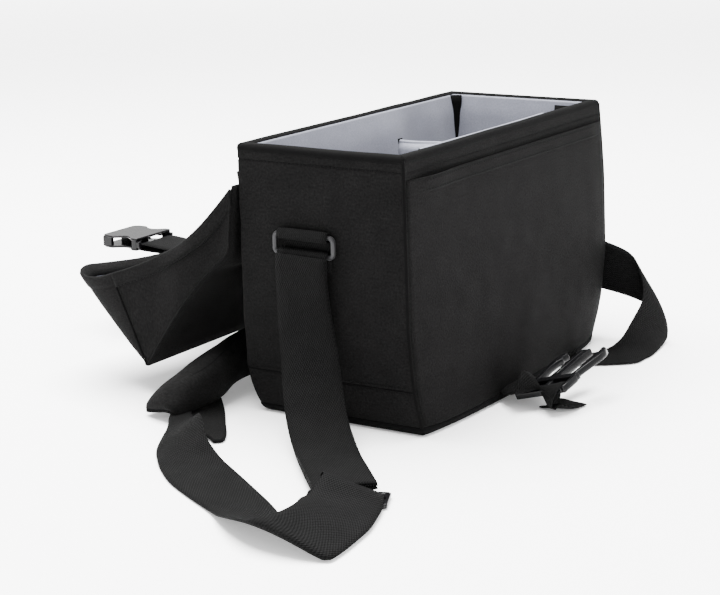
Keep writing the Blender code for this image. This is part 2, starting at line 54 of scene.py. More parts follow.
HALF_LENGTH = 142.5
HALF_DEPTH = 64.0
TOP = 185.0
POCKET_TOP = 169.0
RIM_SEAM = 175.0
BOOT_SEAM = 31.0
ENDS = (("near", -1), ("far", 1))
WEB_WIDTH = 40.0
SEWN_WIDTH = 39.0  # webbing drawn in a little where it runs through a ring
WEB = 1.7
STRAP_Y = 10
LID_CORNER = (147.5, 21.5)  # y, z of the fold between the lid's top and its front skirt
SKIRT_X = 147.0


# Meshes


def dress(obj, slot, *stands_for):
    """Hide the solids whose place a piece takes; the piece itself and its slot are not used."""
    if stands_for:
        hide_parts(*stands_for)


def place(obj, body, slot, *stands_for):
    """Put a whole piece on one body."""
    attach(obj, body)
    dress(obj, slot, *stands_for)


def curve(points, steps=6):
    """Catmull-Rom curve through the points, with steps spans between neighbours."""
    pts = np.array(points, float)
    last = len(pts) - 1
    result = []
    for i in range(last):
        p0, p1, p2, p3 = pts[max(i - 1, 0)], pts[i], pts[i + 1], pts[min(i + 2, last)]
        for k in range(steps):
            t = k / steps
            cubic = (2 * p0 - 5 * p1 + 4 * p2 - p3) * t**2 + (3 * p1 - p0 - 3 * p2 + p3) * t**3
            result.append(0.5 * (2 * p1 + (p2 - p0) * t + cubic))
    result.append(pts[-1])
    return np.array(result)


def along(points, fractions):
    """Points at the given fractions of a polyline's length."""
    pts = np.array(points, float)
    run = np.concatenate(([0.0], np.cumsum(np.linalg.norm(np.diff(pts, axis=0), axis=1))))
    where = np.array(fractions) * run[-1]
    return np.stack([np.interp(where, run, pts[:, k]) for k in range(pts.shape[1])], axis=-1)


def unit(vectors):
    size = np.linalg.norm(vectors, axis=-1, keepdims=True)
    return vectors / np.maximum(size, 1e-9)


def smooth_rows(grid, times, loop=False):
    """Relax a grid along its columns, keeping its ends unless it is a loop."""
    for _ in range(times):
        before, after = np.roll(grid, 1, axis=1), np.roll(grid, -1, axis=1)
        relaxed = 0.5 * grid + 0.25 * (before + after)
        if loop:
            grid = relaxed
        else:
            grid = np.concatenate((grid[:, :1], relaxed[:, 1:-1], grid[:, -1:]), axis=1)
    return grid


def wrinkle(point, scale, seed=0.0):
    """Smooth noise from -1 to 1 at a point in millimetres."""
    return noise.noise(Vector(point) / scale + Vector((seed, seed * 1.7, -seed)))


def hump(value, centre, width):
    """Bell curve: 1 at its centre, nearly 0 beyond twice its width."""
    return math.exp(-(((value - centre) / width) ** 2))


def make_object(name, verts, faces, materials, uvs=None, slots=None):
    mesh = bpy.data.meshes.new(name)
    mesh.from_pydata([tuple(v) for v in np.array(verts, float) * MM], [], faces)
    for material in materials:
        mesh.materials.append(material)
    if slots is not None:
        mesh.polygons.foreach_set("material_index", slots)
    if uvs is not None:
        layer = mesh.uv_layers.new(name="cloth")
        layer.data.foreach_set("uv", (np.array(uvs, float) * MM).ravel())
    mesh.polygons.foreach_set("use_smooth", [True] * len(mesh.polygons))
    mesh.validate()
    obj = bpy.data.objects.new(name, mesh)
    bpy.context.scene.collection.objects.link(obj)
    return obj


def grid_normals(grid, loop):
    if loop:
        across = np.roll(grid, -1, axis=1) - np.roll(grid, 1, axis=1)
    else:
        across = np.gradient(grid, axis=1)
    return unit(np.cross(across, np.gradient(grid, axis=0)))


def sheet(name, grid, thick, outer, inner=None, loop=False, flip=False):
    """A cloth with two faces and closed edges from a grid of points (rows, columns, 3).

    thick is one number or one for each point. The UV map holds distances along the cloth.
    """
    grid = np.array(grid, float)
    rows, cols = grid.shape[:2]
    normals = grid_normals(grid, loop) * (-1.0 if flip else 1.0)
    half = np.broadcast_to(np.array(thick, float), (rows, cols))[..., None] / 2
    verts = np.concatenate(((grid + normals * half).reshape(-1, 3), (grid - normals * half).reshape(-1, 3)))
    closed = np.concatenate((grid, grid[:, :1]), axis=1) if loop else grid
    step_u = np.linalg.norm(np.diff(closed, axis=1), axis=2).mean(axis=0)
    step_v = np.linalg.norm(np.diff(grid, axis=0), axis=2).mean(axis=1)
    u = np.concatenate(([0.0], np.cumsum(step_u)))
    v = np.concatenate(([0.0], np.cumsum(step_v)))
    layer = rows * cols
    faces, uvs, slots = [], [], []

    def add(corners, side):
        order = corners if (side == 0) != flip else corners[::-1]
        faces.append([side * layer + i * cols + j % cols for i, j in order])
        uvs.extend((u[j], v[i]) for i, j in order)
        slots.append(side if inner else 0)

    spans = cols if loop else cols - 1
    for i in range(rows - 1):
        for j in range(spans):
            square = [(i, j), (i, j + 1), (i + 1, j + 1), (i + 1, j)]
            add(square, 0)
            add(square, 1)
    borders = [[(0, j), (0, j + 1)] for j in range(spans)]
    borders += [[(rows - 1, j + 1), (rows - 1, j)] for j in range(spans)]
    if not loop:
        borders += [[(i + 1, 0), (i, 0)] for i in range(rows - 1)]
        borders += [[(i, cols - 1), (i + 1, cols - 1)] for i in range(rows - 1)]
    for (ia, ja), (ib, jb) in borders:
        a, b = ia * cols + ja % cols, ib * cols + jb % cols
        face = [a, a + layer, b + layer, b]
        faces.append(face if not flip else face[::-1])
        uvs.extend(((u[ja], v[ia]), (u[ja], v[ia]), (u[jb], v[ib]), (u[jb], v[ib])))
        slots.append(0)
    materials = [outer, inner] if inner else [outer]
    return make_object(name, verts, faces, materials, uvs, slots)


def ribbon_grid(stations, width=WEB_WIDTH, steps=6, columns=9, lift=0.0, cup=0.0):
    """Points of a webbing through stations, each a centre point and the direction across."""
    centres = curve([centre for centre, _ in stations], steps)
    across = unit(curve([unit(np.array(side, float)) for _, side in stations], steps))
    tangent = unit(np.gradient(centres, axis=0))
    across = unit(across - tangent * np.sum(across * tangent, axis=1, keepdims=True))
    normal = np.cross(tangent, across)
    shift = np.linspace(-1.0, 1.0, columns)
    rise = lift + cup * (1.0 - shift**2)
    return (
        centres[:, None]
        + across[:, None] * shift[None, :, None] * width / 2
        + normal[:, None] * rise[None, :, None]
    )


def webbing_sheet(name, grid, material, thick=WEB):
    """Webbing whose two selvedges thin out."""
    shift = np.linspace(-1.0, 1.0, np.array(grid).shape[1])
    return sheet(name, grid, thick * (1.0 - 0.55 * np.abs(shift) ** 8)[None, :], material)


CORD_SIDES = 8
GUIDE = (0.31, 0.22, 0.92)  # a direction that no cord or thread runs in


def cord(name, points, radius, material, loop=False):
    """A round cord along a polyline."""
    sides = CORD_SIDES
    pts = np.array(points, float)
    if loop:
        tangent = unit(np.roll(pts, -1, axis=0) - np.roll(pts, 1, axis=0))
    else:
        tangent = unit(np.gradient(pts, axis=0))
    side = unit(np.cross(tangent, GUIDE))
    up = np.cross(side, tangent)
    turns = np.linspace(0.0, math.tau, sides, endpoint=False)
    ring = side[:, None] * np.cos(turns)[None, :, None] + up[:, None] * np.sin(turns)[None, :, None]
    verts = (pts[:, None] + ring * radius).reshape(-1, 3)
    count = len(pts)
    faces = []
    uvs = []
    run = np.concatenate(([0.0], np.cumsum(np.linalg.norm(np.diff(pts, axis=0), axis=1)), [0.0]))
    for i in range(count if loop else count - 1):
        for k in range(sides):
            corners = ((i, k), (i, k + 1), (i + 1, k + 1), (i + 1, k))
            faces.append([(a % count) * sides + b % sides for a, b in corners])
            uvs.extend((b * radius * 0.8, run[a]) for a, b in corners)
    if not loop:
        for cap in (range(sides), range(count * sides - 1, (count - 1) * sides - 1, -1)):
            faces.append(list(cap))
            uvs.extend((0.0, 0.0) for _ in range(sides))
    return make_object(name, verts, faces, [material], uvs)


STITCH_PITCH = 3.2
STITCH_LENGTH = 2.3
THREAD_RADIUS = 0.32


def stitches(name, points, material):
    """A row of thread stitches laid along a polyline."""
    pts = np.array(points, float)
    total = np.linalg.norm(np.diff(pts, axis=0), axis=1).sum()
    count = max(2, int(total / STITCH_PITCH))
    verts, faces = [], []
    for i in range(count):
        start = i * STITCH_PITCH + 0.4
        ends = along(pts, [start / total, min((start + STITCH_LENGTH) / total, 1.0)])
        axis = unit(ends[1] - ends[0])
        side = unit(np.cross(axis, GUIDE))
        up = np.cross(side, axis)
        base = len(verts)
        for t, size in ((0.0, 0.4), (0.25, 1.0), (0.75, 1.0), (1.0, 0.4)):
            for k in range(6):
                turn = math.tau * k / 6
                offset = (side * math.cos(turn) + up * math.sin(turn)) * THREAD_RADIUS * size
                verts.append(ends[0] + (ends[1] - ends[0]) * t + offset)
        for ring in range(3):
            for k in range(6):
                a, b = base + ring * 6 + k, base + ring * 6 + (k + 1) % 6
                faces.append([a, b, b + 6, a + 6])
        faces.append([base + 5 - k for k in range(6)])
        faces.append([base + 18 + k for k in range(6)])
    return make_object(name, verts, faces, [material])


FILL_FRAMES = 20
FILL_REACH = 3.0


def fill_out(obj, pressure):
    """Let air pressure round a padded piece out, by no more than FILL_REACH anywhere."""
    before = [v.co.copy() for v in obj.data.vertices]
    cloth = obj.modifiers.new("cloth", "CLOTH")
    cloth.settings.use_pressure = True
    cloth.settings.uniform_pressure_force = pressure
    cloth.settings.effector_weights.gravity = 0.0
    cloth.settings.quality = 6
    cloth.settings.tension_stiffness = 30.0
    cloth.settings.compression_stiffness = 30.0
    cloth.point_cache.frame_start = 1
    cloth.point_cache.frame_end = FILL_FRAMES
    scene = bpy.context.scene
    for number in range(1, FILL_FRAMES + 1):
        scene.frame_set(number)
    shaped = obj.evaluated_get(bpy.context.evaluated_depsgraph_get())
    after = [v.co.copy() for v in shaped.data.vertices]
    obj.modifiers.remove(cloth)
    scene.frame_set(1)
    limit = FILL_REACH * MM
    for vert, start, end in zip(obj.data.vertices, before, after):
        move = end - start
        if move.length > limit:
            move *= limit / move.length
        vert.co = start + move


# Materials


def new_material(name):
    material = bpy.data.materials.new(name)
    material.use_nodes = True
    return material, material.node_tree.nodes, material.node_tree.links


def math_node(nodes, links, operation, first, second=None):
    node = nodes.new("ShaderNodeMath")
    node.operation = operation
    for socket, value in ((0, first), (1, second)):
        if value is None:
            continue
        if isinstance(value, (int, float)):
            node.inputs[socket].default_value = value
        else:
            links.new(value, node.inputs[socket])
    return node.outputs[0]


def noise_node(nodes, links, scale, detail, vector):
    node = nodes.new("ShaderNodeTexNoise")
    node.inputs["Scale"].default_value = scale
    node.inputs["Detail"].default_value = detail
    links.new(vector, node.inputs["Vector"])
    return node.outputs["Fac"]


def add_bump(nodes, links, height, strength, depth):
    bump = nodes.new("ShaderNodeBump")
    bump.inputs["Strength"].default_value = strength
    bump.inputs["Distance"].default_value = depth * MM
    links.new(height, bump.inputs["Height"])
    links.new(bump.outputs[0], nodes["Principled BSDF"].inputs["Normal"])


def cloth_material(name, dark, light, pitch, ratio, roughness, sheen, depth, mottle, shine):
    """Woven cloth: two crossed rows of threads on the UV map, with mottling and a soft sheen.

    pitch is the spacing of the threads in millimetres, ratio the spacing the other way over it,
    depth the height of the weave in millimetres and mottle the share of random flecks in the colour.
    """
    material, nodes, links = new_material(name)
    shader = nodes["Principled BSDF"]
    unrolled = nodes.new("ShaderNodeUVMap")
    unrolled.uv_map = "cloth"
    split = nodes.new("ShaderNodeSeparateXYZ")
    links.new(unrolled.outputs[0], split.inputs[0])
    waves = []
    for axis, spacing in ((0, pitch), (1, pitch * ratio)):
        phase = math_node(nodes, links, "MULTIPLY", split.outputs[axis], math.tau / (spacing * MM))
        waves.append(math_node(nodes, links, "SINE", phase))
    weave = math_node(nodes, links, "MULTIPLY", waves[0], waves[1])
    half_weave = math_node(nodes, links, "MULTIPLY", weave, 0.5)
    height = math_node(nodes, links, "ADD", half_weave, 0.5)
    grain = noise_node(nodes, links, 700.0, 4.0, unrolled.outputs[0])
    coords = nodes.new("ShaderNodeTexCoord")
    cloud = noise_node(nodes, links, 60.0, 5.0, coords.outputs["Object"])
    mixed = math_node(nodes, links, "MULTIPLY", height, 1.0 - mottle)
    spread = math_node(nodes, links, "MULTIPLY", grain, 2.6 * mottle)
    fleck = math_node(nodes, links, "SUBTRACT", spread, 0.8 * mottle)
    share = math_node(nodes, links, "ADD", mixed, fleck)
    cloud_share = math_node(nodes, links, "MULTIPLY", cloud, 0.4)
    patchiness = math_node(nodes, links, "ADD", cloud_share, 0.3)
    tint = math_node(nodes, links, "MULTIPLY", share, patchiness)
    ramp = nodes.new("ShaderNodeValToRGB")
    ramp.color_ramp.elements[0].position = 0.05
    ramp.color_ramp.elements[0].color = (*dark, 1.0)
    ramp.color_ramp.elements[1].position = 0.55
    ramp.color_ramp.elements[1].color = (*light, 1.0)
    links.new(tint, ramp.inputs[0])
    links.new(ramp.outputs[0], shader.inputs["Base Color"])
    add_bump(nodes, links, share, 0.9, depth)
    shader.inputs["Roughness"].default_value = roughness
    shader.inputs["Sheen Weight"].default_value = sheen
    shader.inputs["Sheen Roughness"].default_value = 0.4
    shader.inputs["Specular IOR Level"].default_value = shine
    return material


WEAR = 0.12


def hard_material(name, colour, roughness, metallic=0.0, shine=0.5):
    """Moulded plastic or wire: faint scuffs and uneven polish."""
    material, nodes, links = new_material(name)
    shader = nodes["Principled BSDF"]
    coords = nodes.new("ShaderNodeTexCoord")
    scuff = noise_node(nodes, links, 420.0, 6.0, coords.outputs["Object"])
    spread = math_node(nodes, links, "MULTIPLY", scuff, WEAR)
    polish = math_node(nodes, links, "ADD", spread, roughness)
    links.new(polish, shader.inputs["Roughness"])
    add_bump(nodes, links, scuff, 0.25, 0.05)
    shader.inputs["Base Color"].default_value = (*colour, 1.0)
    shader.inputs["Metallic"].default_value = metallic
    shader.inputs["Specular IOR Level"].default_value = shine
    return material


BLACK = (0.0009, 0.0009, 0.0009)
NYLON_LIGHT = (0.0078, 0.0077, 0.0076)
TAPE_LIGHT = (0.003, 0.003, 0.003)
RIB_LIGHT = (0.0065, 0.0065, 0.0065)
GREY = (0.10, 0.103, 0.123)
GREY_LIGHT = (0.19, 0.196, 0.233)
NYLON = cloth_material("nylon_weave", BLACK, NYLON_LIGHT, 0.75, 1.0, 0.85, 0.003, 0.25, 0.55, 0.03)
TAPE = cloth_material("binding_weave", BLACK, TAPE_LIGHT, 0.9, 0.6, 0.85, 0.003, 0.12, 0.25, 0.03)
WEBBING = cloth_material("webbing_ribs", BLACK, RIB_LIGHT, 1.6, 1.9, 0.75, 0.002, 0.8, 0.12, 0.03)
LINING = cloth_material("lining_weave", GREY, GREY_LIGHT, 0.6, 1.0, 0.5, 0.15, 0.05, 0.3, 0.07)
THREAD = hard_material("thread", (0.004, 0.004, 0.004), 0.8, shine=0.03)
PLASTIC = hard_material("moulded_plastic", (0.003, 0.003, 0.0033), 0.16, shine=0.12)
METAL = hard_material("satin_wire", (0.02, 0.02, 0.021), 0.36, 0.6, shine=0.3)


# Bag body

HEIGHTS = (0, 5, 13, 22, 35, 70, 130, 160, 185)
CORNERS = (
    (
        (-133, -134.5, -136.5, -138.5, -140.5, -142.5, -142.5, -142.5, -142.5),
        (-71, -71, -70, -69, -68, -66, -65, -64.5, -64),
    ),
    (
        (116, 124, 132, 136.5, 140, 142.5, 142.5, 142.5, 142.5),
        (-71, -69, -67.5, -68, -69, -71, -69, -66.5, -64),
    ),
    ((136, 138, 140, 141, 142, 142.5, 142.5, 142.5, 142.5), (58, 60, 62, 63, 64, 64, 64, 64, 64)),
    ((-136, -138, -140, -141, -142, -142.5, -142.5, -142.5, -142.5), (52, 55, 58, 61, 63, 64, 64, 64, 64)),
)
BULGES = (  # how far each side stands out at mid-width, for the heights beside it
    ((0, 30, 70, 100, 130, 169, 185), (9.0, 9.0, 6.0, 2.2, 0.6, 0.2, 0.0)),
    ((0, 90, 125, 170, 185), (1.0, 2.2, 0.6, 0.3, 0.1)),
    ((0, 90, 170, 185), (1.0, 3.5, 1.5, 0.3)),
    ((0, 90, 125, 170, 185), (0.5, 1.5, 0.5, 0.3, 0.1)),
)
SIDE_COLUMNS = (64, 36, 56, 36)


def corner_at(index, z):
    xs, ys = CORNERS[index]
    return np.array((np.interp(z, HEIGHTS, xs), np.interp(z, HEIGHTS, ys)))


def side_points(side, z, fractions, inset=0.0):
    """Points on one outer side at height z: front, far end, back, near end."""
    start, end = corner_at(side, z), corner_at((side + 1) % 4, z)
    direction = unit(end - start)
    outward = np.array((direction[1], -direction[0]))
    levels, sizes = BULGES[side]
    stand = np.interp(z, levels, sizes)
    points = []
    for t in fractions:
        across = max(0.0, 1.0 - (2 * t - 1) ** 2) ** 0.7
        point = start + (end - start) * t + outward * (stand * across - inset)
        points.append((point[0], point[1], z))
    return np.array(points)


def clustered(count):
    """Fractions from 0 up to 1, closer together near both ends."""
    return [0.5 - 0.5 * math.cos(math.pi * i / count) for i in range(count)]


def body_loop(z, inset=0.0):
    parts = []
    for side in range(4):
        parts.append(side_points(side, z, clustered(SIDE_COLUMNS[side])))
    loop = np.concatenate(parts)
    if inset:
        tangent = unit(np.roll(loop, -1, axis=0) - np.roll(loop, 1, axis=0))
        outward = np.stack((tangent[:, 1], -tangent[:, 0], np.zeros(len(loop))), axis=1)
        outward = smooth_rows(outward[None], 12, True)[0]
        loop = loop - unit(outward) * inset
    return loop


EDGE_RADIUS = 5.0


def edge_roll(z):
    """How far the bottom edge has rolled in at height z."""
    if z >= EDGE_RADIUS:
        return 0.0
    return EDGE_RADIUS - math.sqrt(EDGE_RADIUS**2 - (EDGE_RADIUS - z) ** 2)


def build_shell():
    levels = [0.6, 1.2, 2.2, 3.6, 5.5, 8, 11, 15, 20, 25, 29, BOOT_SEAM - 0.8, BOOT_SEAM, BOOT_SEAM + 0.8]
    levels += list(np.linspace(35, 172, 42)) + [RIM_SEAM - 0.8, RIM_SEAM, RIM_SEAM + 0.8, 178, 181, 183.5]
    rows = []
    for z in levels:
        loop = body_loop(z, edge_roll(z))
        for j, point in enumerate(loop):
            soft = 1.0 - abs(z / 92.0 - 1.0) ** 3
            push = 0.8 * soft * wrinkle(point, 34.0, 3.0) + 0.25 * wrinkle(point, 9.0, 5.0)
            away = unit(np.array((point[0] / 142.0, point[1] / 64.0, 0.0)) ** 7)
            loop[j] = point + away * push
        rows.append(loop)
    grid = smooth_rows(np.array(rows), 5, True)
    seam = [i for i, z in enumerate(levels) if z in (BOOT_SEAM, RIM_SEAM)]
    for i in seam:
        away = unit(np.stack((grid[i, :, 0] / 142.0, grid[i, :, 1] / 64.0, 0 * grid[i, :, 0]), axis=1) ** 7)
        grid[i] -= away * 0.7
    shell = sheet("body_shell", grid, 1.4, NYLON, loop=True)
    end_parts = [f"{end}_end_{part}" for part in ("panel", "boot") for end, _ in ENDS]
    place(shell, "bag_body", "nylon", "front_panel", "back_panel", *end_parts)
    loop = smooth_rows(body_loop(0.6, edge_roll(0.6) + 1.0)[None], 5, True)[0]
    centre = np.array((0.0, 0.0, 0.9))
    rows = [centre + (loop - centre) * size for size in (0.02, 0.4, 0.75, 1.0)]
    base = sheet("bag_bottom", np.array(rows), 1.0, NYLON, loop=True)
    place(base, "bag_body", "nylon", "bottom_panel")

    rows = []
    for z, out in ((0.7, 0.3), (1.6, 0.9), (3.2, 1.1), (5.0, 1.0), (6.4, 0.4)):
        rows.append(smooth_rows(body_loop(z, edge_roll(z) - out)[None], 5, True)[0])
    tape = sheet("bottom_binding_tape", np.array(rows), 0.9, TAPE, loop=True)
    place(tape, "bag_body", "binding", "bottom_binding")


def end_line(side, z, out, low=0.03, high=0.97):
    return side_points(side, z, np.linspace(low, high, 60), -out)


def build_seams():
    for end, side in (("near", 3), ("far", 1)):
        for label, z, out in (("boot", BOOT_SEAM + 2.2, 1.0), ("rim", RIM_SEAM, 0.5)):
            line = stitches(f"{end}_{label}_stitching", end_line(side, z, out), THREAD)
            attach(line, "bag_body")
        fold = cord(f"{end}_boot_fold", end_line(side, BOOT_SEAM, 0.15, 0.005, 0.995), 0.7, TAPE)
        place(fold, "bag_body", "binding")
    for end, index, sign in (("near", 0, -1), ("far", 1, 1)):
        points = []
        for z in np.linspace(2.0, 183.0, 70):
            x, y = corner_at(index, z)
            points.append((x - sign * 0.2, y + 0.1, z))
        piping = cord(f"{end}_front_seam", smooth_rows(np.array(points)[None], 6)[0], 1.25, TAPE)
        place(piping, "bag_body", "binding", f"{end}_front_piping")


def pocket_surface(t, z, out):
    gape = 2.6 * hump(t, 0.12, 0.07) * max(0.0, (z - 140.0) / 29.0) ** 2
    point = side_points(0, z, [t], inset=-(out + gape) * min(1.0, 14.0 * min(t, 1 - t)) - 0.4)[0]
    soft = min(1.0, 8.0 * min(t, 1 - t)) * (1.0 - (z / RIM_SEAM) ** 6)
    calm = np.interp(z, (90, 120), (1.6, 0.6))
    point[1] -= soft * (calm * wrinkle(point, 60.0, 11.0) + 0.35 * wrinkle(point, 14.0, 2.0))
    return point


def build_pocket():
    fractions = np.linspace(0.006, 0.994, 72)
    levels = np.concatenate(([6.0, 7.5, 10, 14], np.linspace(19, POCKET_TOP, 46)))
    grid = np.array([[pocket_surface(t, z, 1.2) for t in fractions] for z in levels])
    grid[:3, :, 1] += np.array((1.0, 0.4, 0.1))[:, None]
    place(sheet("pocket_panel", smooth_rows(grid, 2), 1.3, NYLON), "bag_body", "nylon", "front_pocket")
    levels = np.linspace(POCKET_TOP - 9.0, POCKET_TOP + 0.8, 8)
    grid = np.array([[pocket_surface(t, z, 1.9) for t in fractions] for z in levels])
    hem = sheet("pocket_hem_fold", grid, 1.5, NYLON)
    place(hem, "bag_body", "nylon", "front_pocket_hem")
    for label, z, out in (("edge", POCKET_TOP - 1.2, 2.7), ("hem", POCKET_TOP - 7.6, 2.7)):
        points = [pocket_surface(t, z, out) for t in fractions]
        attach(stitches(f"pocket_{label}_stitching", points, THREAD), "bag_body")


def build_rim():
    section = ((0.5, 180.6), (0.75, 182.6), (0.2, 184.4), (-1.6, 185.3), (-3.2, 185.4), (-5.0, 185.2))
    section += ((-6.2, 184.0), (-6.6, 182.2), (-6.4, 180.6))
    rows = []
    for out, z in section:
        loop = smooth_rows(body_loop(TOP, -out)[None], 5, True)[0]
        loop[:, 2] = z + 0.35 * np.array([wrinkle(p, 45.0, 7.0) for p in loop])
        rows.append(loop)
    rim = sheet("rim_binding_tape", np.array(rows), 0.9, TAPE, loop=True)
    place(rim, "bag_body", "binding", "rim_binding")


def lining_inset(side, t, z):
    """Padding thickness of each wall, fuller below the rim and folded softly in places."""
    depth = np.interp(z, (14, 60, 140, 172, 184), (10.0, 11.0, 11.0, 8.5, 6.3))
    if side == 2:
        fold = hump(t, 0.36, 0.05) - 0.8 * hump(t, 0.26, 0.07)
        depth += 3.0 * fold * np.interp(z, (60, 130, 168, 184), (0.0, 1.0, 1.0, 0.0))
        depth += 2.5 * np.interp(z, (60, 120, 165, 184), (0.0, 1.0, 0.8, 0.0)) * math.sin(math.pi * t)
    return depth


STRIP_WIDTH = 9.0
STRIP_THICK = 2.6


def build_lining():
    levels = list(np.linspace(13.5, 165, 34)) + [169, 173, 177, 180, 182.5, 184.0]
    rows = []
    for z in levels:
        loop = []
        for side in range(4):
            for t in clustered(SIDE_COLUMNS[side]):
                reach = lining_inset(side, t, z)
                start, end = corner_at(side, TOP), corner_at((side + 1) % 4, TOP)
                direction = unit(end - start)
                outward = np.array((direction[1], -direction[0]))
                size = np.linalg.norm(end - start)
                point = start + direction * (reach + t * (size - 2 * reach)) - outward * reach
                loop.append((point[0], point[1], z))
        loop = np.array(loop)
        away = unit(np.stack((loop[:, 0] / 134.0, loop[:, 1] / 56.0, 0 * loop[:, 0]), axis=1) ** 7)
        soft = 1.0 - (z / 190.0) ** 8
        push = np.array([1.3 * wrinkle(p, 38.0, 21.0) + 0.35 * wrinkle(p, 13.0, 4.0) for p in loop])
        rows.append(loop + away * push[:, None] * soft)
    grid = smooth_rows(np.array(rows), 4, True)
    lining = sheet("lining_walls", grid, 1.0, LINING, loop=True, flip=True)
    walls = ("front", "back", "near_end", "far_end")
    layers = [f"{wall}_{layer}" for wall in walls for layer in ("lining", "foam")]
    place(lining, "bag_body", "lining", *layers)

    xs, ys = np.linspace(-132, 132, 40), np.linspace(-53, 53, 18)
    rows = []
    for y in ys:
        row = []
        for x in xs:
            crown = (1 - (x / 132) ** 6) * (1 - (y / 53) ** 4)
            row.append((x, y, 12.6 + 2.2 * crown + 0.6 * wrinkle((x, y, 0), 40.0, 9.0)))
        rows.append(row)
    cushion = sheet("floor_cushion", rows, 3.0, LINING)
    place(cushion, "bag_body", "lining", "floor_lining", "base_foam", "base_board")

    lip = [(x, -HALF_DEPTH + 5.6 - 0.5 * math.cos(x / 40.0), 184.9) for x in np.linspace(-112, 62, 60)]
    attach(cord("front_lining_lip", lip, 1.1, LINING), "bag_body")

    levels = np.linspace(20, 184, 30)
    points = [(129.5 - 2.5 * math.sin(z / 40.0), 55.0 - 1.5 * math.sin(z / 24.0), z) for z in levels]
    run = ribbon_grid([(p, (0.55, -0.84, 0)) for p in points], STRIP_WIDTH, 1, 5)
    strip = webbing_sheet("corner_strip", run, TAPE, STRIP_THICK)
    place(strip, "bag_body", "binding", "corner_loop_strip")
    points = [(131.6, -43.0, z) for z in np.linspace(30, 181, 16)]
    run = ribbon_grid([(p, (0, 1, 0)) for p in points], 20.0, 1, 5)
    place(webbing_sheet("far_wall_strip", run, TAPE, 1.4), "bag_body", "binding")


def build_divider():
    """A padded wall with a rolled top and a dark fastening strip on each upright edge."""
    low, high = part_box("divider")
    x0, x1, y0, y1 = low.x / MM, high.x / MM, low.y / MM, high.y / MM
    z0, z1 = low.z / MM, high.z / MM
    middle, half = (x0 + x1) / 2, (x1 - x0) / 2
    rows = []
    for z in np.linspace(z0, z1, 26):
        top = max(0.0, (z - (z1 - half)) / half)
        width = half * math.sqrt(max(0.04, 1.0 - top**2))
        row = []
        for start, end, side in ((y0, y1, -1), (y1, y0, 1)):
            row += [(middle + side * width, y, z) for y in np.linspace(start, end, 24)]
            for turn in (0.25, 0.5, 0.75):
                across = middle + side * width - 2 * side * width * turn
                row.append((across, end - side * 0.3 * math.sin(math.pi * turn), z))
        rows.append(row)
    grid = np.array(rows)
    grid[:, :, 0] += np.array([[1.0 * wrinkle(p, 35.0, 8.0) for p in row] for row in grid])
    grid[:, :, 2] += 0.5 * np.sin(grid[:, :, 1] / 9.0) * (grid[:, :, 2] / z1) ** 6
    place(sheet("padded_divider", grid, 0.9, LINING, loop=True), "divider", "lining", "divider")
    ridge = [(middle, y, z1 + 0.5 * math.sin(y / 9.0) - 0.5) for y in np.linspace(y0, y1, 40)]
    place(cord("divider_top_roll", ridge, 1.6, LINING), "divider", "lining")
    for wall_name in ("front", "back"):
        low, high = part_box(f"divider_{wall_name}_hook")
        y = (low.y + high.y) / 2 / MM
        points = [(middle + 0.8 * math.sin(z / 13.0), y, z) for z in np.linspace(z0, z1 + 1.5, 24)]
        run = ribbon_grid([(p, (1, 0, 0)) for p in points], STRIP_WIDTH, 1, 5)
        strip = webbing_sheet(f"divider_{wall_name}_strip", run, TAPE, STRIP_THICK)
        place(strip, "divider", "binding", f"divider_{wall_name}_hook")


# Lid

LID_PROFILE = ((66.5, 157.0), (69.0, 141.0), (70.5, 126.0), (73.0, 111.0), (86.0, 99.0), (99.0, 86.0))
LID_PROFILE += ((119.0, 62.0), (136.0, 38.5), LID_CORNER)
RIM_LINE = ((66.5, 156.0), (77.0, 144.0), (95.0, 126.0), (113.0, 112.0), (130.0, 103.0), (145.0, 96.0))
RIM_LINE += ((160.0, 90.0), (176.0, 84.5))
FRONT_RIM = (  # rim of the front skirt, from the near corner seam to the middle
    (-147, 176, 84.5),
    (-147, 186, 81),
    (-145, 197, 79.5),
    (-141, 207, 79.5),
    (-134, 215, 81),
    (-122, 219, 82),
    (-107, 218, 80.5),
    (-90, 212.5, 79.5),
    (-75, 207.5, 79),
    (-40, 203, 78),
    (0, 201.5, 77),
)
FRONT_FOOT = (-147, -146.6, -146, -145, -142.5, -136, -124, -104, -82, -42, 0)


def bend_with_lid(obj):
    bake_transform(obj)


def bend_with_front(obj):
    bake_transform(obj)


def top_line(fractions):
    return along(curve(LID_PROFILE, 8), fractions)


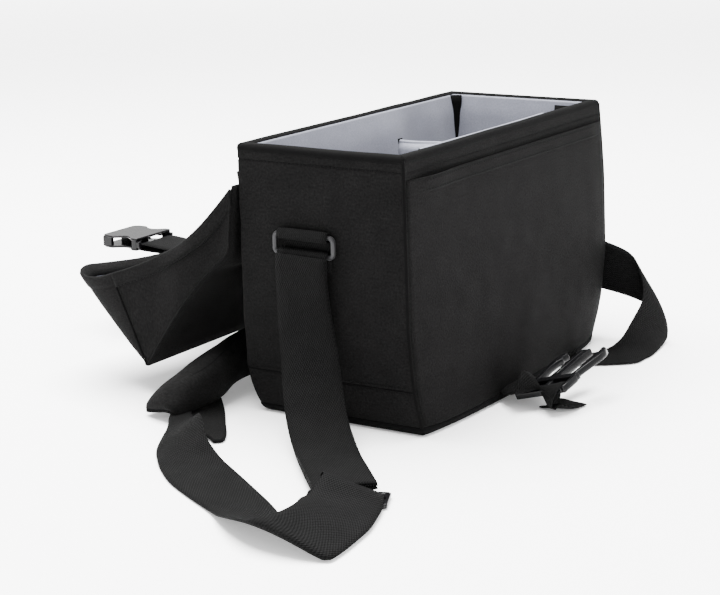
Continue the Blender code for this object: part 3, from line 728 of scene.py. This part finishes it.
def build_lid_top():
    fractions = np.linspace(0.0, 1.0, 60)
    profile = top_line(fractions)
    tangent = unit(np.gradient(profile, axis=0))
    outward = np.stack((-np.abs(tangent[:, 1]), -np.abs(tangent[:, 0])), axis=1)
    across = np.linspace(-1.0, 1.0, 60)
    rows, thick = [], []
    for t, (y, z), out in zip(fractions, profile, outward):
        row = []
        for u in across:
            free = (1 - u**4) * math.sin(math.pi * t) ** 0.7
            push = 4.0 * free + 1.6 * free * wrinkle((u * 146, y, z), 45.0, 2.0)
            crumple = (1 - u**8) * (0.8 + 0.6 * wrinkle((u * 146, 0, 0), 30.0, 6.0))
            push += 5.0 * crumple * (hump(t, 0.33, 0.05) - 0.6 * hump(t, 0.42, 0.04))
            row.append((u * (SKIRT_X - 0.4), y + out[0] * push, z + out[1] * push))
        rows.append(row)
        foam = 3.6 * np.interp(t, (0.28, 0.42, 0.93, 1.0), (0.0, 1.0, 1.0, 0.0))
        thick.append([1.8 + foam * (1 - u**10) for u in across])
    lid = sheet("lid_top_padded", rows, thick, NYLON, LINING, flip=True)
    bend_with_lid(lid)
    dress(lid, "nylon", "lid_back_strip", "lid_top_panel", "lid_top_foam", "lid_top_lining")
    flap = [[(x, 64.9 + 0.5 * k, 157.0 + 3.0 * k) for x in np.linspace(-141, 141, 40)] for k in range(4)]
    place(sheet("lid_hinge_flap", flap, 1.0, NYLON), "bag_body", "nylon")


def skirt_point(sign, s, t):
    """End skirt: s from the hinge to the corner seam, t from the fold up to the rim."""
    low = along(curve(LID_PROFILE, 8), [0.03 + 0.97 * s])[0]
    high = along(curve(RIM_LINE, 8), [s])[0]
    point = low + (high - low) * t
    slack = math.sin(math.pi * t)
    dent = 2.0 * slack**1.3 * hump(s, 0.24, 0.14)
    dent += slack * (hump(s, 0.80, 0.15) - 4.5 * hump(s, 0.52, 0.16))
    ripple = 0.8 * abs(wrinkle((0.0, point[0], point[1]), 26.0, 4.0)) * math.sin(math.pi * min(1.0, t * 1.1))
    return np.array((sign * (SKIRT_X - dent + ripple), point[0], point[1]))


def front_half():
    """Rim and foot of the near half of the front skirt, point by point."""
    rim = curve(FRONT_RIM, 6)
    foot = curve([(x, *LID_CORNER) for x in FRONT_FOOT], 6)
    return foot, rim


def front_row(v):
    """One row of the front skirt, from the near corner seam round to the far one."""
    foot, rim = front_half()
    half = foot + (rim - foot) * v
    row = np.concatenate((half, half[::-1][1:] * (-1, 1, 1)))
    span = 1 - np.minimum(1.0, np.abs(row[:, 0]) / SKIRT_X) ** 24
    ripple = np.array([wrinkle(p, 50.0, 13.0) for p in row])
    stand = np.interp(v, (0.0, 0.06, 0.12, 0.25, 0.5, 0.75, 1.0), (0.0, 4.4, 5.6, 6.2, 5.2, 4.2, 2.6))
    push = span * (stand + 0.9 * np.abs(ripple) * math.sin(math.pi * v))
    row[:, 1] += 0.766 * push
    row[:, 2] -= 0.643 * push
    return row


def build_skirts():
    for end, sign in ENDS:
        run, rise = np.linspace(0.0, 1.0, 56), np.linspace(0.0, 1.0, 26)
        grid = [[skirt_point(sign, s, t) for s in run] for t in rise]
        skirt = sheet(f"lid_{end}_skirt_cloth", grid, 1.4, NYLON, flip=sign > 0)
        bend_with_lid(skirt)
        dress(skirt, "nylon", f"lid_{end}_skirt")
        rows = []
        for t in (-9.5, -6.0, -3.0, 0.0, 0.9):
            row = []
            for s in np.linspace(0.02, 1.0, 56):
                top, below = skirt_point(sign, s, 1.0), skirt_point(sign, s, 0.9)
                down = unit(top - below)
                row.append(top + down * t + np.array((sign * (1.1 if t < 0.5 else 0.4), 0, 0)))
            rows.append(row)
        hem = sheet(f"lid_{end}_hem_cloth", rows, 1.2, NYLON, flip=sign > 0)
        bend_with_lid(hem)
        dress(hem, "nylon", f"lid_{end}_hem")
        proud = np.array((sign * 0.7, 0, 0))
        line = [first * 0.9 + second * 0.1 + proud for first, second in zip(rows[0], rows[1])]
        thread = stitches(f"lid_{end}_hem_stitching", line, THREAD)
        bend_with_lid(thread)
        proud = np.array((sign * 0.6, 0.3, 0))
        seam = [skirt_point(sign, 1.0, t) + proud for t in np.linspace(0.0, 0.87, 30)]
        place(cord(f"lid_{end}_corner_seam", seam, 1.0, TAPE), "lid_top", "binding")
        proud = np.array((sign * 0.4, 0, 0))
        fold = [skirt_point(sign, s, 0.0) + proud for s in np.linspace(0.05, 1.0, 60)]
        crease = cord(f"lid_{end}_fold_seam", fold, 0.9, NYLON)
        bend_with_lid(crease)
        dress(crease, "nylon")
    rows = [front_row(v) for v in np.linspace(0.0, 1.0, 26)]
    front = sheet("lid_front_skirt_cloth", rows, 1.6, NYLON, LINING, flip=True)
    bend_with_front(front)
    dress(front, "nylon", "lid_front_skirt", "lid_front_lining")
    rows = []
    folds = ((0.885, 0.9), (0.93, 1.1), (0.975, 1.1), (1.0, 0.9), (1.012, 0.0))
    folds += ((1.0, -0.9), (0.95, -1.1), (0.89, -1.0))
    for v, out in folds:
        row = front_row(v)
        along_row = unit(np.gradient(row, axis=0))
        away = unit(np.cross(along_row, np.array((0.0, 0.66, 0.75))))
        rows.append(row - away * out)
    hem = sheet("lid_front_hem_cloth", rows, 1.0, NYLON, flip=True)
    bend_with_front(hem)
    dress(hem, "nylon", "lid_front_hem")


# Strap

DROP = (
    ((-150.9, 10, 116), (0, 1, 0)),
    ((-151.6, 10, 108), (0, 1, 0)),
    ((-152, 9, 92), (-0.02, 1, 0)),
    ((-154, 6, 72), (-0.1, 1, 0)),
    ((-159, 0, 52), (-0.2, 0.97, 0)),
    ((-168, -8, 34), (-0.35, 0.93, 0)),
    ((-184, -22, 18), (-0.45, 0.88, 0)),
    ((-206, -43, 9), (-0.46, 0.88, 0)),
    ((-230, -66, 6.5), (-0.44, 0.89, 0)),
    ((-254, -89, 6.5), (-0.40, 0.91, 0)),
)
LOOP_EDGES = (  # the two edges of the strap from the slide to the shoulder pad
    ((-247, -66, 8), (-242, -107, 3)),
    ((-250, -70, 13), (-247, -111, 4.5)),
    ((-256, -75, 15), (-255, -116, 4)),
    ((-270, -79, 13), (-263, -120, 3)),
    ((-285, -84, 13), (-274, -124, 3)),
    ((-299, -88, 16), (-290, -129, 2.6)),
    ((-312, -93, 18), (-306, -131.5, 2.4)),
    ((-328, -95, 19.5), (-325, -133.5, 2.2)),
    ((-339, -91, 19), (-338, -132, 1.8)),
    ((-342, -82, 16.5), (-333, -118, 1.2)),
    ((-336, -66, 12.5), (-320, -101, 1.2)),
    ((-325, -49, 6.5), (-305, -82, 1.2)),
    ((-312, -32, 2.0), (-286, -59, 1.2)),
    ((-297, -3, 1.2), (-262, -24, 1.2)),
    ((-284, 20, 1.2), (-249, -4, 1.4)),
    ((-268, 40, 1.1), (-238, 16, 4.0)),
    ((-256, 52, 1.1), (-229, 33, 12.0)),
    ((-247, 60, 1.2), (-216, 47, 20.0)),
    ((-241, 64, 2.4), (-211, 54, 18.0)),
    ((-229, 70, 4.0), (-203, 62, 13.0)),
    ((-213, 78, 5.5), (-194, 71, 9.0)),
    ((-196, 90, 6.0), (-182, 82, 7.0)),
    ((-172, 103, 6.0), (-162, 94, 6.0)),
)
LOOP_SAG = (0, 0, 0, 1, 2, 3, 3, 2, -3, -5, -3, -1, 0, 0, 0, 1, 2, 3, 2, 0, 0, 0, 0)
FAR_EDGES = (  # the two edges of the strap from the far ring, round its fold and under the bag
    ((151, -10, 116), (151, 30, 116)),
    ((151.3, -10, 104), (151.3, 30, 104)),
    ((151, -12, 95), (151, 26, 88)),
    ((150.5, -18, 89), (150.5, 12, 63)),
    ((150, -38, 82), (150, -26, 44)),
    ((150, -67, 75), (150, -65, 37)),
    ((150, -85, 69.5), (150.5, -83, 34)),
    ((149.5, -93, 64), (151.5, -98, 30)),
    ((146, -98, 58), (153, -109, 24)),
    ((141, -104, 48), (153.5, -117, 14.5)),
    ((133, -107.5, 36), (151, -121, 6)),
    ((118, -106, 23.5), (143, -122, 2)),
    ((105, -102, 11), (124, -125, 1.2)),
    ((96, -92, 3.5), (100, -126, 1.2)),
    ((87, -78, 1.6), (76, -116, 1.2)),
    ((70, -28, 1.4), (34, -45, 1.4)),
    ((40, 38, 1.4), (4, 22, 1.4)),
    ((10, 98, 1.6), (-18, 70, 1.6)),
    ((-32, 120, 2.6), (-32, 80, 2.6)),
)
FAR_SAG = (0, 0, 0, 0, 0, 0, 0, 1, 3, 5, 6, 4, 2, 0, 0, 0, 0, 0, 0)


def edge_grid(edges, sags, toward, steps=6):
    """Points of a webbing given by its two edges, its middle pushed out by the sags."""
    upper = curve([pair[0] for pair in edges], steps)[:, None]
    lower = curve([pair[1] for pair in edges], steps)[:, None]
    sag = curve([(depth, 0, 0) for depth in sags], steps)[:, :1, None]
    side = np.linspace(-1.0, 1.0, 11)[None, :, None]
    return (upper + lower) / 2 - (upper - lower) / 2 * side + sag * (1 - side**2) * np.array(toward)


def arc(x, z, radius, start, stop, sign=1):
    """Twelve points round a bar that runs along y."""
    turns = [math.radians(turn) for turn in np.linspace(start, stop, 12)]
    return [(x + sign * radius * math.cos(turn), STRAP_Y, z + radius * math.sin(turn)) for turn in turns]


def ring_webbing(name, points):
    """Webbing wound round a bar, from its side view."""
    return webbing_sheet(name, ribbon_grid([(p, (0, 1, 0)) for p in points], SEWN_WIDTH, 2), WEBBING, 1.5)


def build_strap():
    for layer, lift in (("outer", 1.0), ("inner", -1.0)):
        drop = webbing_sheet(f"strap_near_drop_{layer}", ribbon_grid(DROP, SEWN_WIDTH, lift=lift), WEBBING)
        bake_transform(drop)
        dress(drop, "webbing")
        if layer == "outer":
            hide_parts("strap_near_drop", "near_strap_loop")
    run = edge_grid(LOOP_EDGES, LOOP_SAG, (0.75, 0.2, -0.6))
    floor = webbing_sheet("strap_floor_run_webbing", run, WEBBING)
    place(floor, "bag_body", "webbing", "strap_floor_run")
    tail = [(np.array(centre) + (0, 0, 2.4), side) for centre, side in DROP[-3:]]
    tail[0] = (tail[0][0] + (-10.0, -9.0, -2.6), tail[0][1])
    doubled = webbing_sheet("strap_stitched_end", ribbon_grid(tail, 38.6, 6), WEBBING, 1.6)
    place(doubled, "bag_body", "webbing")
    far = webbing_sheet("strap_far_webbing", edge_grid(FAR_EDGES, FAR_SAG, (0.85, -0.5, -0.1), 7), WEBBING)
    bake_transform(far)
    dress(far, "webbing", "strap_far_run", "far_strap_loop")
    for end, sign in ENDS:
        low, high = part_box(f"{end}_ring")
        x, z = (low.x + high.x) / 2 / MM, high.z / MM - 1.7
        wall = sign * (HALF_LENGTH + 1.4)
        points = [(wall, STRAP_Y, z + 1.8), *arc(x, z, 3.1, 100, -100, sign)]
        points += [(wall, STRAP_Y, z - 2.6), (sign * (HALF_LENGTH + 1.2), STRAP_Y, z - 14)]
        place(ring_webbing(f"{end}_tab_webbing", points), "bag_body", "webbing", f"{end}_tab")
        bar_z = z - (high.z - low.z) / MM + 3.4
        foot = bar_z - 11
        points = [(x - 2.9, STRAP_Y, foot), *arc(x, bar_z, 3.0, 185, -5), (x + 2.9, STRAP_Y, foot)]
        place(ring_webbing(f"{end}_strap_wrap", points), f"{end}_ring", "webbing")


PAD_LINES = (  # from the near end to the far one, each from the edge by the lid over the ridge to its foot
    ((-187, 116, 4), (-189, 106, 6), (-191, 97, 8), (-193, 90, 8), (-193, 85, 5)),
    ((-183, 118, 6), (-186, 107, 12), (-189, 96, 15), (-190, 88, 13), (-186, 84, 6)),
    ((-173, 118.5, 9), (-178, 106, 18), (-183, 92, 22), (-180, 85, 16), (-172, 84, 7)),
    ((-157, 118, 14), (-163, 104, 23), (-170, 88.5, 26), (-164, 84, 17), (-155, 86, 6)),
    ((-137, 117, 22), (-144, 103, 28), (-152, 88, 29), (-145, 85, 18), (-138, 90, 6)),
    ((-117, 113, 29), (-123, 102, 33), (-130, 91, 34), (-123, 89, 20), (-116, 96, 8)),
    ((-93, 108, 35), (-96, 103, 37), (-100, 98, 36), (-97, 94, 22), (-93, 97, 9)),
    ((-30, 110, 34), (-30, 106, 36), (-30, 101, 34), (-31, 96, 22), (-32, 94, 10)),
    ((30, 112, 28), (30, 107, 30), (30, 101, 28), (29, 96, 18), (28, 94, 9)),
    ((56, 114, 20), (56, 108, 22), (56, 102, 20), (55, 97, 14), (54, 94, 8)),
    ((62, 113, 14), (62, 108, 15), (62, 103, 14), (61, 99, 10), (61, 96, 8)),
)
PAD_FLAP = (  # the pad's backing where it lies on the floor, each line from under the pad outwards
    ((-196, 84, 5), (-201, 66, 3.5), (-207, 48, 2.2), (-211, 41, 1.6)),
    ((-186, 90, 5), (-192, 70, 3.5), (-200, 50, 2.2), (-206, 38, 1.4)),
    ((-174, 94, 5), (-181, 76, 3.0), (-189, 58, 1.8), (-194, 45, 1.4)),
    ((-158, 98, 5), (-165, 84, 2.8), (-173, 70, 1.6), (-179, 57, 1.4)),
    ((-138, 103, 5), (-143, 95, 3.2), (-150, 86, 1.8), (-156, 75, 1.4)),
    ((-124, 108, 6), (-128, 103, 4.5), (-133, 98, 3.0), (-137, 92, 1.8)),
)


def lines_grid(lines, steps):
    """A smooth grid through lines of points."""
    fine = [curve(line, steps) for line in lines]
    across = [curve([line[j] for line in fine], steps) for j in range(len(fine[0]))]
    return np.swapaxes(np.array(across), 0, 1)


def rim_of(grid):
    return np.concatenate((grid[:, 0], grid[-1, 1:], grid[::-1, -1][1:], grid[0, ::-1][1:-1]))


def build_pad():
    grid = lines_grid(PAD_LINES, 6)
    rows, cols = grid.shape[:2]
    run, span = np.linspace(0, 1, rows), np.linspace(-1, 1, cols)
    ends = np.minimum(1.0, np.minimum(run, 1 - run) / 0.06) ** 0.5
    filled = (1 - np.abs(span) ** 4) * np.interp(span, (-1.0, 0.2, 1.0), (1.0, 0.8, 0.4))
    pad = sheet("shoulder_pad_cushion", grid, 2.0 + 6.5 * ends[:, None] * filled[None, :], NYLON)
    fill_out(pad, 2.0)
    place(pad, "shoulder_pad", "nylon", "shoulder_pad_foam", "shoulder_pad_cover")
    place(cord("shoulder_pad_piping", rim_of(grid), 1.3, TAPE, loop=True), "shoulder_pad", "binding")
    crest = grid[3:-3, cols // 2] + np.array((0.6, -1.0, 3.2))
    place(cord("shoulder_pad_ridge_seam", crest, 1.0, TAPE), "shoulder_pad", "binding")
    backing = sheet("shoulder_pad_backing", lines_grid(PAD_FLAP, 6), 2.4, NYLON)
    place(backing, "shoulder_pad", "nylon", "shoulder_pad_base")
    edge = cord("shoulder_pad_backing_edge", rim_of(lines_grid(PAD_FLAP, 6)), 1.2, TAPE, loop=True)
    place(edge, "shoulder_pad", "binding")


# Buckle


def build_buckle():
    low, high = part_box("lid_buckle_webbing")
    y0, y1, z = low.y / MM, high.y / MM, (low.z + high.z) / 2 / MM
    rise = ((-2.0, 5.5), (6.0, 1.0), (18.0, -1.5), (32.0, -1.2))
    turn = ((0.0, 0.2), (5.0, -0.4), (7.6, -1.6), (7.2, -3.8), (2.0, -4.6), (-14.0, -4.8))
    bend = [(y0 + y, z + up) for y, up in rise] + [(y1 + y, z + up) for y, up in turn]
    strap = ribbon_grid([((0, y, height), (1, 0, 0)) for y, height in bend], 38.0, 5)
    strap = webbing_sheet("lid_buckle_strap_webbing", strap, WEBBING, 1.8)
    place(strap, "lid_buckle_strap", "webbing", "lid_buckle_webbing")
    root = (
        ((-14, -62, 1.6), (1, 0, 0)),
        ((-16, -71, 2.0), (1, 0.0, 0)),
        ((-22, -81, 6.0), (0.95, -0.3, 0.1)),
        ((-30, -89, 8.5), (0.75, -0.65, 0.1)),
        ((-37, -97, 8.0), (0.4, -0.9, 0.1)),
        ((-44, -106, 11.0), (0.0, -0.95, 0.2)),
        ((-49, -112, 14.0), (-0.1, -0.95, 0.3)),
        ((-46, -114, 17.0), (-0.15, -0.93, 0.3)),
        ((-41, -113, 15.5), (-0.19, -0.93, 0.31)),
    )
    cloth = ribbon_grid(root, 34.0, 6, cup=1.5)
    for row in cloth:
        for point in row:
            point[2] += 2.6 * abs(wrinkle(point, 11.0, 17.0)) * min(1.0, (point[2] - 0.5) / 4.0)
    strap = webbing_sheet("closure_webbing_cloth", cloth, WEBBING, 2.0)
    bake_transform(strap)
    dress(strap, "webbing", "closure_webbing")
    tail = (
        ((-47, -119, 4.5), (0.12, -0.97, 0.15)),
        ((-38, -123, 2.2), (0.1, -0.99, 0.05)),
        ((-28, -124, 1.5), (0.1, -1, 0)),
        ((-22, -125, 1.4), (0.1, -1, 0)),
    )
    end = webbing_sheet("closure_tail_cloth", ribbon_grid(tail, 22.0, 6, cup=0.6), WEBBING, 1.9)
    place(end, "closure_tail", "webbing", "closure_tail")


def slab_block(verts, faces, outline, z0, z1):
    """Add a closed plate with the given outline (x, y) between two heights."""
    base, count = len(verts), len(outline)
    verts.extend((x, y, z0) for x, y in outline)
    verts.extend((x, y, z1) for x, y in outline)
    faces.append([base + count - 1 - k for k in range(count)])
    faces.append([base + count + k for k in range(count)])
    for k in range(count):
        after = (k + 1) % count
        faces.append([base + k, base + after, base + count + after, base + count + k])


def rectangle(x0, x1, y0, y1):
    return [(x0, y0), (x1, y0), (x1, y1), (x0, y1)]


def moulding(name, verts, faces, edge, body, stands_for):
    """A plastic piece with its edges rounded, on its body."""
    obj = make_object(name, verts, faces, [PLASTIC])
    bevel = obj.modifiers.new("edge", "BEVEL")
    bevel.width = edge * MM
    bevel.segments = 3
    bevel.angle_limit = math.radians(35)
    place(obj, body, "buckle_plastic", stands_for)
    return obj


def build_female_buckle():
    """Two plates scooped in at the sides, joined by posts, open at the mouth, with a bar for the webbing."""
    low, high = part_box("female_buckle")
    low, high = low / MM, high / MM
    half, back, mouth = high.x, low.y, high.y
    scoop = [(half - 5.5 * math.sin(math.pi * k / 8), back + 8.5 + 19.5 * k / 8) for k in range(9)]
    side = [(half - 0.5, back + 3.0), (half, back + 5.0), *scoop, (half, back + 31.0)]
    side += [(half - 0.6, mouth - 4.5), (half - 2.2, mouth - 1.6), (half - 5.0, mouth)]
    outline = side + [(-x, y) for x, y in side[::-1]]
    verts, faces = [], []
    slab_block(verts, faces, outline, high.z - 2.0, high.z)
    slab_block(verts, faces, outline, low.z, low.z + 2.0)
    for sign in (-1, 1):
        for x0, x1, y0, y1 in ((16.0, 21.8, 3.2, 8.2), (18.4, 21.6, 29.0, 38.2), (2.6, 4.4, 12.0, 34.0)):
            post = rectangle(*sorted((sign * x0, sign * x1)), back + y0, back + y1)
            slab_block(verts, faces, post, low.z + 1.0, high.z - 1.0)
        arm = rectangle(*sorted((sign * 18.6, sign * 21.6)), back + 0.2, back + 6.0)
        slab_block(verts, faces, arm, low.z + 2.2, high.z - 2.4)
    for x in (-7.0, 7.0):
        rung = rectangle(x - 1.2, x + 1.2, back + 0.6, back + 5.0)
        slab_block(verts, faces, rung, high.z - 2.6, high.z - 0.6)
    slab_block(verts, faces, rectangle(-19.5, 19.5, back + 0.2, back + 3.0), low.z + 2.6, low.z + 5.6)
    buckle = moulding("female_buckle_shell", verts, faces, 0.75, "female_buckle", "female_buckle")
    buckle.data.polygons.foreach_set("use_smooth", [False] * len(buckle.data.polygons))


MALE_BASE = np.array((-37.0, -113.0, 15.0))
MALE_AXIS = np.array((0.963, -0.117, 0.245))
MALE_ACROSS = np.array((-0.19, -0.93, 0.31))


def male_frame():
    """Origin and axes of the male buckle: along it, across it and out of its face."""
    along_buckle = unit(MALE_AXIS)
    across = unit(MALE_ACROSS - along_buckle * np.dot(MALE_ACROSS, along_buckle))
    return MALE_BASE, along_buckle, -across, np.cross(across, along_buckle)


def place_male(verts):
    origin, along_buckle, across, out = male_frame()
    return [origin + along_buckle * x + across * y + out * z for x, y, z in verts]


def build_male_buckle():
    """Ladder and tongue in one moulding, and a sprung leaf with a barb on each side."""
    verts, faces = [], []
    bars = [(-12, -8.2, -20, 20, -2.2, 2.4), (-3.8, 0.2, -20, 20, -2.4, 1.4), (4.6, 10.5, -21, 21, -2.4, 2.4)]
    bars += [(-11, 6, -22, -18.6, -2.5, 2.5), (-11, 6, 18.6, 22, -2.5, 2.5), (-2, 6, -2.2, 2.2, -1.6, 1.6)]
    for *plan, z0, z1 in bars:
        slab_block(verts, faces, rectangle(*plan), z0, z1)
    tongue = [(9, -6.5), (13, -4.6), (40, -4.2), (50, -5.0), (50, 5.0), (40, 4.2), (13, 4.6), (9, 6.5)]
    slab_block(verts, faces, tongue, -2.6, 2.6)
    slab_block(verts, faces, rectangle(12, 46, -1.0, 1.0), 2.2, 3.4)
    moulding("male_buckle_body", place_male(verts), faces, 0.7, "male_buckle", "male_buckle_frame")
    for side, sign in (("left", 1), ("right", -1)):
        outer = [(9.3, 18.5), (16, 19.0), (26, 20.6), (36, 22.2), (42, 22.4), (47, 20.6), (50, 17.0)]
        inner = [(48.5, 15.2), (43, 16.6), (40, 14.6), (37, 17.0), (28, 17.2), (18, 15.6), (9.3, 14.6)]
        outline = [(x, sign * y) for x, y in outer + inner]
        verts, faces = [], []
        slab_block(verts, faces, outline if sign < 0 else outline[::-1], -2.4, 2.4)
        prong = f"male_prong_{side}"
        moulding(f"male_leaf_{side}", place_male(verts), faces, 0.7, prong, prong)


SLIDE_TURN = -66


def build_slide():
    """Three-bar slide under the near webbing, with rounded ends."""
    low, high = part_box("strap_adjuster")
    middle = (low + high) / 2 / MM
    turn = math.radians(SLIDE_TURN)
    verts, faces = [], []
    sides = ((-25, -21, -10, 10), (21, 25, -10, 10))
    bars = ((-24, 24, -11, -7.6), (-24, 24, -1.8, 1.8), (-24, 24, 7.6, 11))
    for plan in sides + bars:
        slab_block(verts, faces, rectangle(*plan), 0.6, 3.6)
    cos, sin = math.cos(turn), math.sin(turn)
    verts = [(middle.x + x * cos - y * sin, middle.y + x * sin + y * cos, z) for x, y, z in verts]
    moulding("strap_slide", verts, faces, 0.8, "strap_adjuster", "strap_adjuster")


def finish_rings():
    """The wire rings keep their own solids, with a finish."""
    for end, _ in ENDS:
        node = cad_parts[f"{end}_ring"]
        node.data.materials.clear()
        node.data.materials.append(METAL)
        node.data.polygons.foreach_set("use_smooth", [True] * len(node.data.polygons))


# Studio


CAMERA_LENS = 86.24
CAMERA_ANGLES = (-57.058, 14.262, -1.276)  # round the bag, down to it, and about the view itself
CAMERA_PLACE = (-1.05056, -0.61832, 0.36608)
SKY = 1.7
SKY_SEEN = 6.0  # the backdrop is brighter to the camera than as a light


def softbox(name, place, aim, size, power):
    data = bpy.data.lights.new(name, "AREA")
    data.shape = "RECTANGLE"
    data.size, data.size_y = size
    data.energy = power
    lamp = bpy.data.objects.new(name, data)
    lamp.location = place
    lamp.rotation_euler = (Vector(aim) - Vector(place)).to_track_quat("-Z", "Y").to_euler()
    bpy.context.scene.collection.objects.link(lamp)
    return lamp


def build_studio():
    cam_data = bpy.data.cameras.new("camera")
    cam_data.lens = CAMERA_LENS
    cam_data.sensor_width = 36.0
    camera = bpy.data.objects.new("camera", cam_data)
    turn, pitch, roll = map(math.radians, CAMERA_ANGLES)
    back = Vector((math.sin(turn) * math.cos(pitch), -math.cos(turn) * math.cos(pitch), math.sin(pitch)))
    right = (-back).cross(Vector((0, 0, 1))).normalized()
    up = right.cross(-back)
    level = right * math.cos(roll) + up * math.sin(roll)
    upright = -right * math.sin(roll) + up * math.cos(roll)
    view = Matrix((level, upright, back)).transposed().to_4x4()
    view.translation = Vector(CAMERA_PLACE)
    camera.matrix_world = view
    bpy.context.scene.collection.objects.link(camera)
    bpy.context.scene.camera = camera

    world = bpy.data.worlds.new("studio")
    world.use_nodes = True
    world_nodes, world_links = world.node_tree.nodes, world.node_tree.links
    rays = world_nodes.new("ShaderNodeLightPath")
    seen = math_node(world_nodes, world_links, "MULTIPLY", rays.outputs["Is Camera Ray"], SKY_SEEN)
    strength = math_node(world_nodes, world_links, "ADD", seen, SKY)
    world_nodes["Background"].inputs[0].default_value = (1.0, 1.0, 1.0, 1.0)
    world_links.new(strength, world_nodes["Background"].inputs[1])
    bpy.context.scene.world = world

    lamps = [
        softbox("top_softbox", (0.1, 0.35, 1.7), (0, 0, 0.05), (1.5, 1.5), 270.0),
        softbox("front_softbox", (-0.3, -1.9, 1.2), (0, 0, 0.1), (1.2, 1.0), 30.0),
    ]
    bpy.ops.mesh.primitive_plane_add(size=8)
    floor = bpy.context.object
    floor.name = "floor"
    material, nodes, links = new_material("pale_floor_painted_glow")
    shader = nodes["Principled BSDF"]
    shader.inputs["Base Color"].default_value = (0.97, 0.97, 0.97, 1.0)
    shader.inputs["Roughness"].default_value = 0.6
    # Painted light: besides reflecting the lamps, the floor glows, more strongly the further it lies from the
    # centre.
    coords = nodes.new("ShaderNodeTexCoord")
    reach = nodes.new("ShaderNodeVectorMath")
    reach.operation = "LENGTH"
    links.new(coords.outputs["Object"], reach.inputs[0])
    painted_floor_glow = math_node(nodes, links, "MULTIPLY", reach.outputs["Value"], 1.2)
    shader.inputs["Emission Color"].default_value = (1.0, 1.0, 1.0, 1.0)
    links.new(painted_floor_glow, shader.inputs["Emission Strength"])
    floor.data.materials.append(material)


build_shell()
build_seams()
build_pocket()
build_rim()
build_lining()
build_divider()
build_lid_top()
build_skirts()
build_strap()
build_pad()
build_buckle()
build_female_buckle()
build_male_buckle()
build_slide()
finish_rings()
build_studio()
